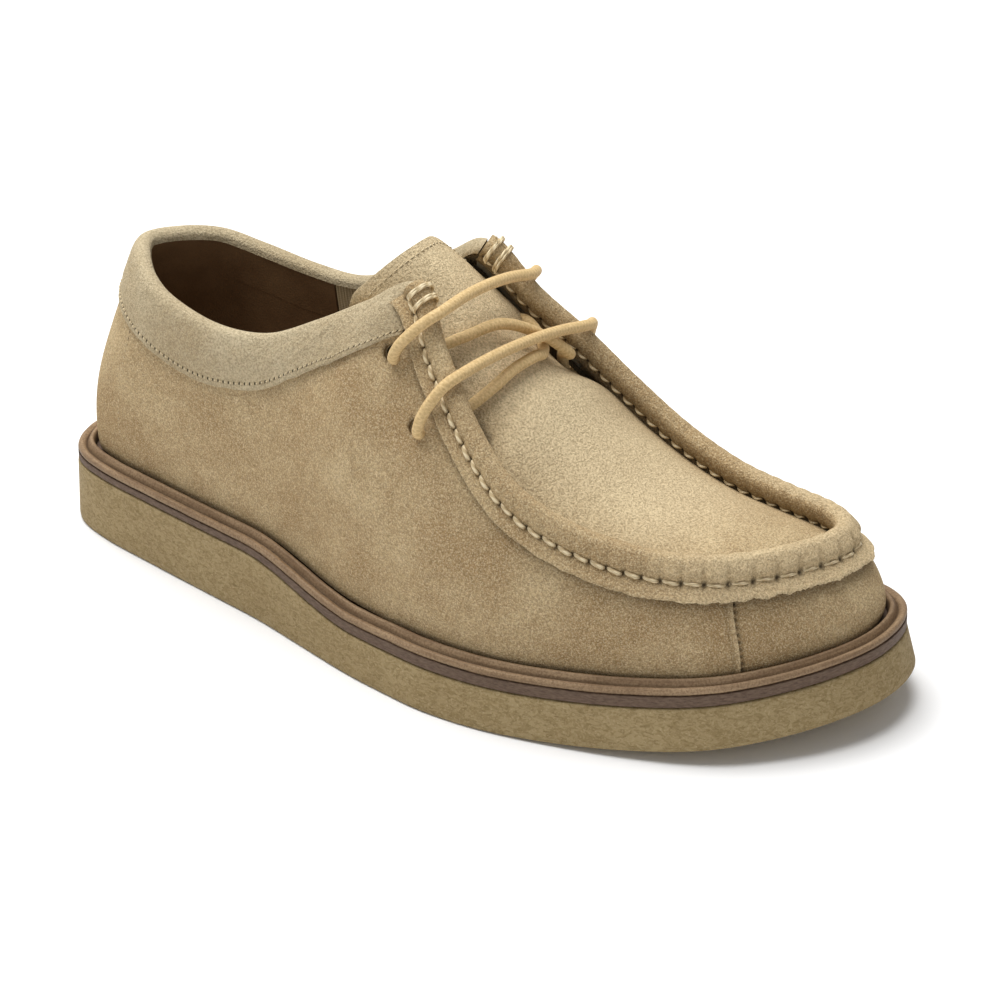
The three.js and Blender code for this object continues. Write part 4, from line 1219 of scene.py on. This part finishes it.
HEEL_PART = (-LINING_BREAK, LINING_BREAK)
done(lining("collar_lining_leather", HEEL_PART, 3.2, 17.2, FORE_OUT - 0.1, lining_leather, (120, 12)),
     "collar_lining")
done(lining("counter_lining_leather", HEEL_PART, 16.9, strip_bottom, LINE_OUT, lining_leather, (120, 30)),
     "counter_lining")
done(lining("eyelet_stay_outer_side", (THROAT, THROAT + 2), 12, 27, STIFF_OUT, stiffener,
            (60, 24), LATERAL_EYELETS, False, STIFF), "eyelet_stay_lateral")
done(lining("eyelet_stay_inner_side", (COUNT - THROAT - 2, COUNT - THROAT), 12, 27, STIFF_OUT, stiffener,
            (60, 24), MEDIAL_EYELETS, True, STIFF), "eyelet_stay_medial")
done(lining("lining_cloth_outer_side", (LINING_BREAK + 0.03, TOE_SEAM - 0.02), fore_top, strip_bottom,
            FORE_OUT, textile, (150, 40), LATERAL_EYELETS), "lining_lateral")
done(lining("lining_cloth_inner_side", (TOE_SEAM + 0.02, COUNT - LINING_BREAK - 0.03), fore_top, strip_bottom,
            FORE_OUT, textile, (150, 40), MEDIAL_EYELETS, True), "lining_medial")

# ---- footbed
FOOTBED_INSET, FOOTBED_TOP, FOOTBED_BOTTOM = 6.3, 9.0, 4.9


def footbed():
    """The leather top, a little cupped along its edges."""
    half = np.linspace(0.0, TOE, 150)
    t = np.linspace(-1, 1, 41)
    inset = np.full(half.shape, -FOOTBED_INSET)
    lateral, medial = plan(half, inset), plan((COUNT - half) % COUNT, inset)
    xy = mix(lateral[:, None], medial[:, None], (t[None, :, None] + 1) / 2)
    floor_z = z_midsole(xy[..., 0])
    face = np.concatenate([xy, (floor_z + FOOTBED_TOP + 1.1 * np.abs(t) ** 6)[..., None]], 2)
    back = np.concatenate([xy, (floor_z + FOOTBED_BOTTOM)[..., None]], 2)
    return shell("footbed_leather_top", face, back, footbed_leather)


done(footbed(), "footbed")


# ---- lace
def bed_line(u, inset, lift):
    """A point over the footbed, inset from the feather line."""
    x, y = plan(np.array(u), -inset)
    return np.array([x, y, z_midsole(x) + 9.2 + lift])


def through(eye):
    return [skin(*eye, n) for n in (-7.6, -3.0, 1.2)]


def over_flange(eye, crest):
    u, d = eye
    return [skin(mix(u, crest, 0.15), d - 5.1, 4.6), skin(mix(u, crest, 0.5), 8, 5.6),
            skin(mix(u, crest, 0.85), 2, 5.2), skin(crest, -3.3, 1.4)]


def crossing(near, near_crest, far, far_crest):
    """Out of one eyelet, over both flanges in a bar that humps up, and into the eyelet opposite."""
    out = through(near) + over_flange(near, near_crest)
    back = (through(far) + over_flange(far, far_crest))[::-1]
    bar = [mix(out[-1], back[0], t) + (0, 0, 2.6 * 4 * t * (1 - t)) for t in (0.25, 0.5, 0.75)]
    return out + bar + back


def tail(inset, far):
    """An end tucked in along the footbed, up to where it leaves it for the wall."""
    return ([bed_line(u, inset, 2.9) for u in np.linspace(far, 9.9, 5)]
            + [bed_line(9.3, inset - 0.5, 4.5), skin(9.0, 64.0, 3.5 - inset)])


UNDER_UPPER_BAR = [(163, 18.5, 100.5), (170.2, 15.2, 97.2), (175, 8.5, 96.4), (176.3, 2, 98.4),
                   (175.3, -10, 98.2), (174, -20, 95.6), (170, -30, 91)]
OVER_TONGUE = [(172.5, 24.5, 89), (178.2, 19.5, 92.6), (173.8, 12.4, 100.1), (166.8, -3, 109.2),
               (160.5, -16, 108), (154, -24.5, 106)]
ROUTE = [*tail(11, 12.8), skin(8.8, 46.0, -7.8), skin(8.65, 30.0, -8.0),
         *crossing(LATERAL_EYELETS[0], 8.62, MEDIAL_EYELETS[0], COUNT - 8.8), *UNDER_UPPER_BAR,
         *crossing(LATERAL_EYELETS[1], 9.45, MEDIAL_EYELETS[1], COUNT - 9.93), *OVER_TONGUE,
         skin(8.15, 23.0, -8.6), skin(8.05, 36.0, -8.0), skin(8.15, 50.0, -8.2), *tail(16.5, 12.2)[::-1]]
LACE_DRAWN = 1.12                   # the cord's thickness beside the CAD's tube
# which of a stretch's four knots the lines of each level run between
PYRAMID = (((0, 1), (1, 2), (2, 3)), ((0, 2), (1, 3)), ((1, 2),))


def centripetal(points, per_span=26):
    """Catmull-Rom line for unevenly spaced points: each stretch is lines between lines of its four points."""
    p = np.concatenate([[2 * points[0] - points[1]], points, [2 * points[-1] - points[-2]]])
    stretches = []
    for k in range(len(p) - 3):
        lines = list(p[k:k + 4])
        knots = np.concatenate([[0], np.cumsum(np.linalg.norm(np.diff(lines, axis=0), axis=1) ** 0.5)])
        t = np.linspace(knots[1], knots[2], per_span, endpoint=False)[:, None]
        for level in PYRAMID:
            shares = [(t - knots[a]) / (knots[b] - knots[a]) for a, b in level]
            lines = [mix(one, other, share) for one, other, share in zip(lines, lines[1:], shares)]
        stretches.append(lines[0])
    return np.concatenate(stretches + [p[-2:-1]])


lace_line = centripetal(np.asarray(ROUTE, float))
arc = arc_length(lace_line)
lace_line = along_line(np.linspace(0, arc[-1], 760), arc, lace_line)
done(tubes("lace_cord_braid", [(lace_line, LACE_DRAWN * LACE)], lace_cord, 16), "lace")


def aglet(name, end, inward, node):
    """A tip beyond the lace's end, in line with a point of the lace further in."""
    along = np.array([0.0, 0.2, 1.2, 8, 16, 18.6, 19.6, 19.9])
    radius = np.array([1.5, 1.85, 1.9, 1.78, 1.72, 1.6, 1.25, 0.7])
    line = end + unit(end - inward) * (GAP + along)[:, None]
    done(tubes(name, [(line, radius)], aglet_plastic, 20), node)


aglet("lace_tip_a", lace_line[0], lace_line[3], "aglet_a")
aglet("lace_tip_b", lace_line[-1], lace_line[-4], "aglet_b")

# ---- pieces that stay as the CAD has them
KEPT = {"shank": steel, "cork_filler": cork, "insole_board": board, "heel_counter": stiffener,
        "toe_puff": stiffener, "collar_foam": foam, "apron_lining": textile}
for node, material in KEPT.items():
    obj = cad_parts[node]
    obj.data.materials.clear()
    obj.data.materials.append(material)

# ---- camera, light, floor
AZIMUTH, ELEVATION, DISTANCE, LENS = math.radians(32.3), math.radians(28.2), 1.18, 132.12
TARGET = np.array((164.7, -0.6, 45.0))
SHOE = (0, 0, 0.05)                 # what the lights point at


def aim(obj, direction):
    """Turns a camera or lamp so that it looks back along the direction."""
    obj.rotation_euler = direction.to_track_quat("Z", "Y").to_euler()


def place_camera():
    flat = math.cos(ELEVATION)
    backward = Vector((math.sin(AZIMUTH) * flat, -math.cos(AZIMUTH) * flat, math.sin(ELEVATION)))
    camera = add("camera", bpy.data.cameras.new("camera"))
    camera.data.sensor_width = 36
    camera.data.lens = LENS
    camera.data.clip_start = 0.05
    camera.location = Vector(((TARGET - ORIGIN) * 0.001).tolist()) + backward * DISTANCE
    aim(camera, backward)
    bpy.context.scene.camera = camera


def area_light(name, place, size, power):
    light = bpy.data.lights.new(name, "AREA")
    light.shape = "DISK"
    light.size = size
    light.energy = power
    obj = add(name, light)
    obj.location = place
    aim(obj, Vector(place) - Vector(SHOE))


def studio():
    """White surroundings, two soft lamps and a pale floor."""
    area_light("key", (-0.42, 0.1, 1.5), 1.6, 38)
    area_light("fill", (0.75, -1.3, 0.6), 1.3, 2.3)
    world = bpy.data.worlds.new("studio")
    world.use_nodes = True
    background = world.node_tree.nodes["Background"]
    background.inputs["Color"].default_value = (1, 1, 1, 1)
    background.inputs["Strength"].default_value = 0.3
    bpy.context.scene.world = world
    bpy.context.scene.view_settings.view_transform = "Standard"
    mesh = bpy.data.meshes.new("floor")
    mesh.from_pydata([(-6, -6, 0), (6, -6, 0), (6, 6, 0), (-6, 6, 0)], [], [(0, 1, 2, 3)])
    matt = bpy.data.materials.new("floor")
    matt.use_nodes = True
    surface = matt.node_tree.nodes["Principled BSDF"]
    surface.inputs["Base Color"].default_value = (0.93, 0.93, 0.93, 1)
    surface.inputs["Roughness"].default_value = 0.9
    mesh.materials.append(matt)
    floor = add("floor", mesh)
    floor.location.z = -0.0002


place_camera()
studio()
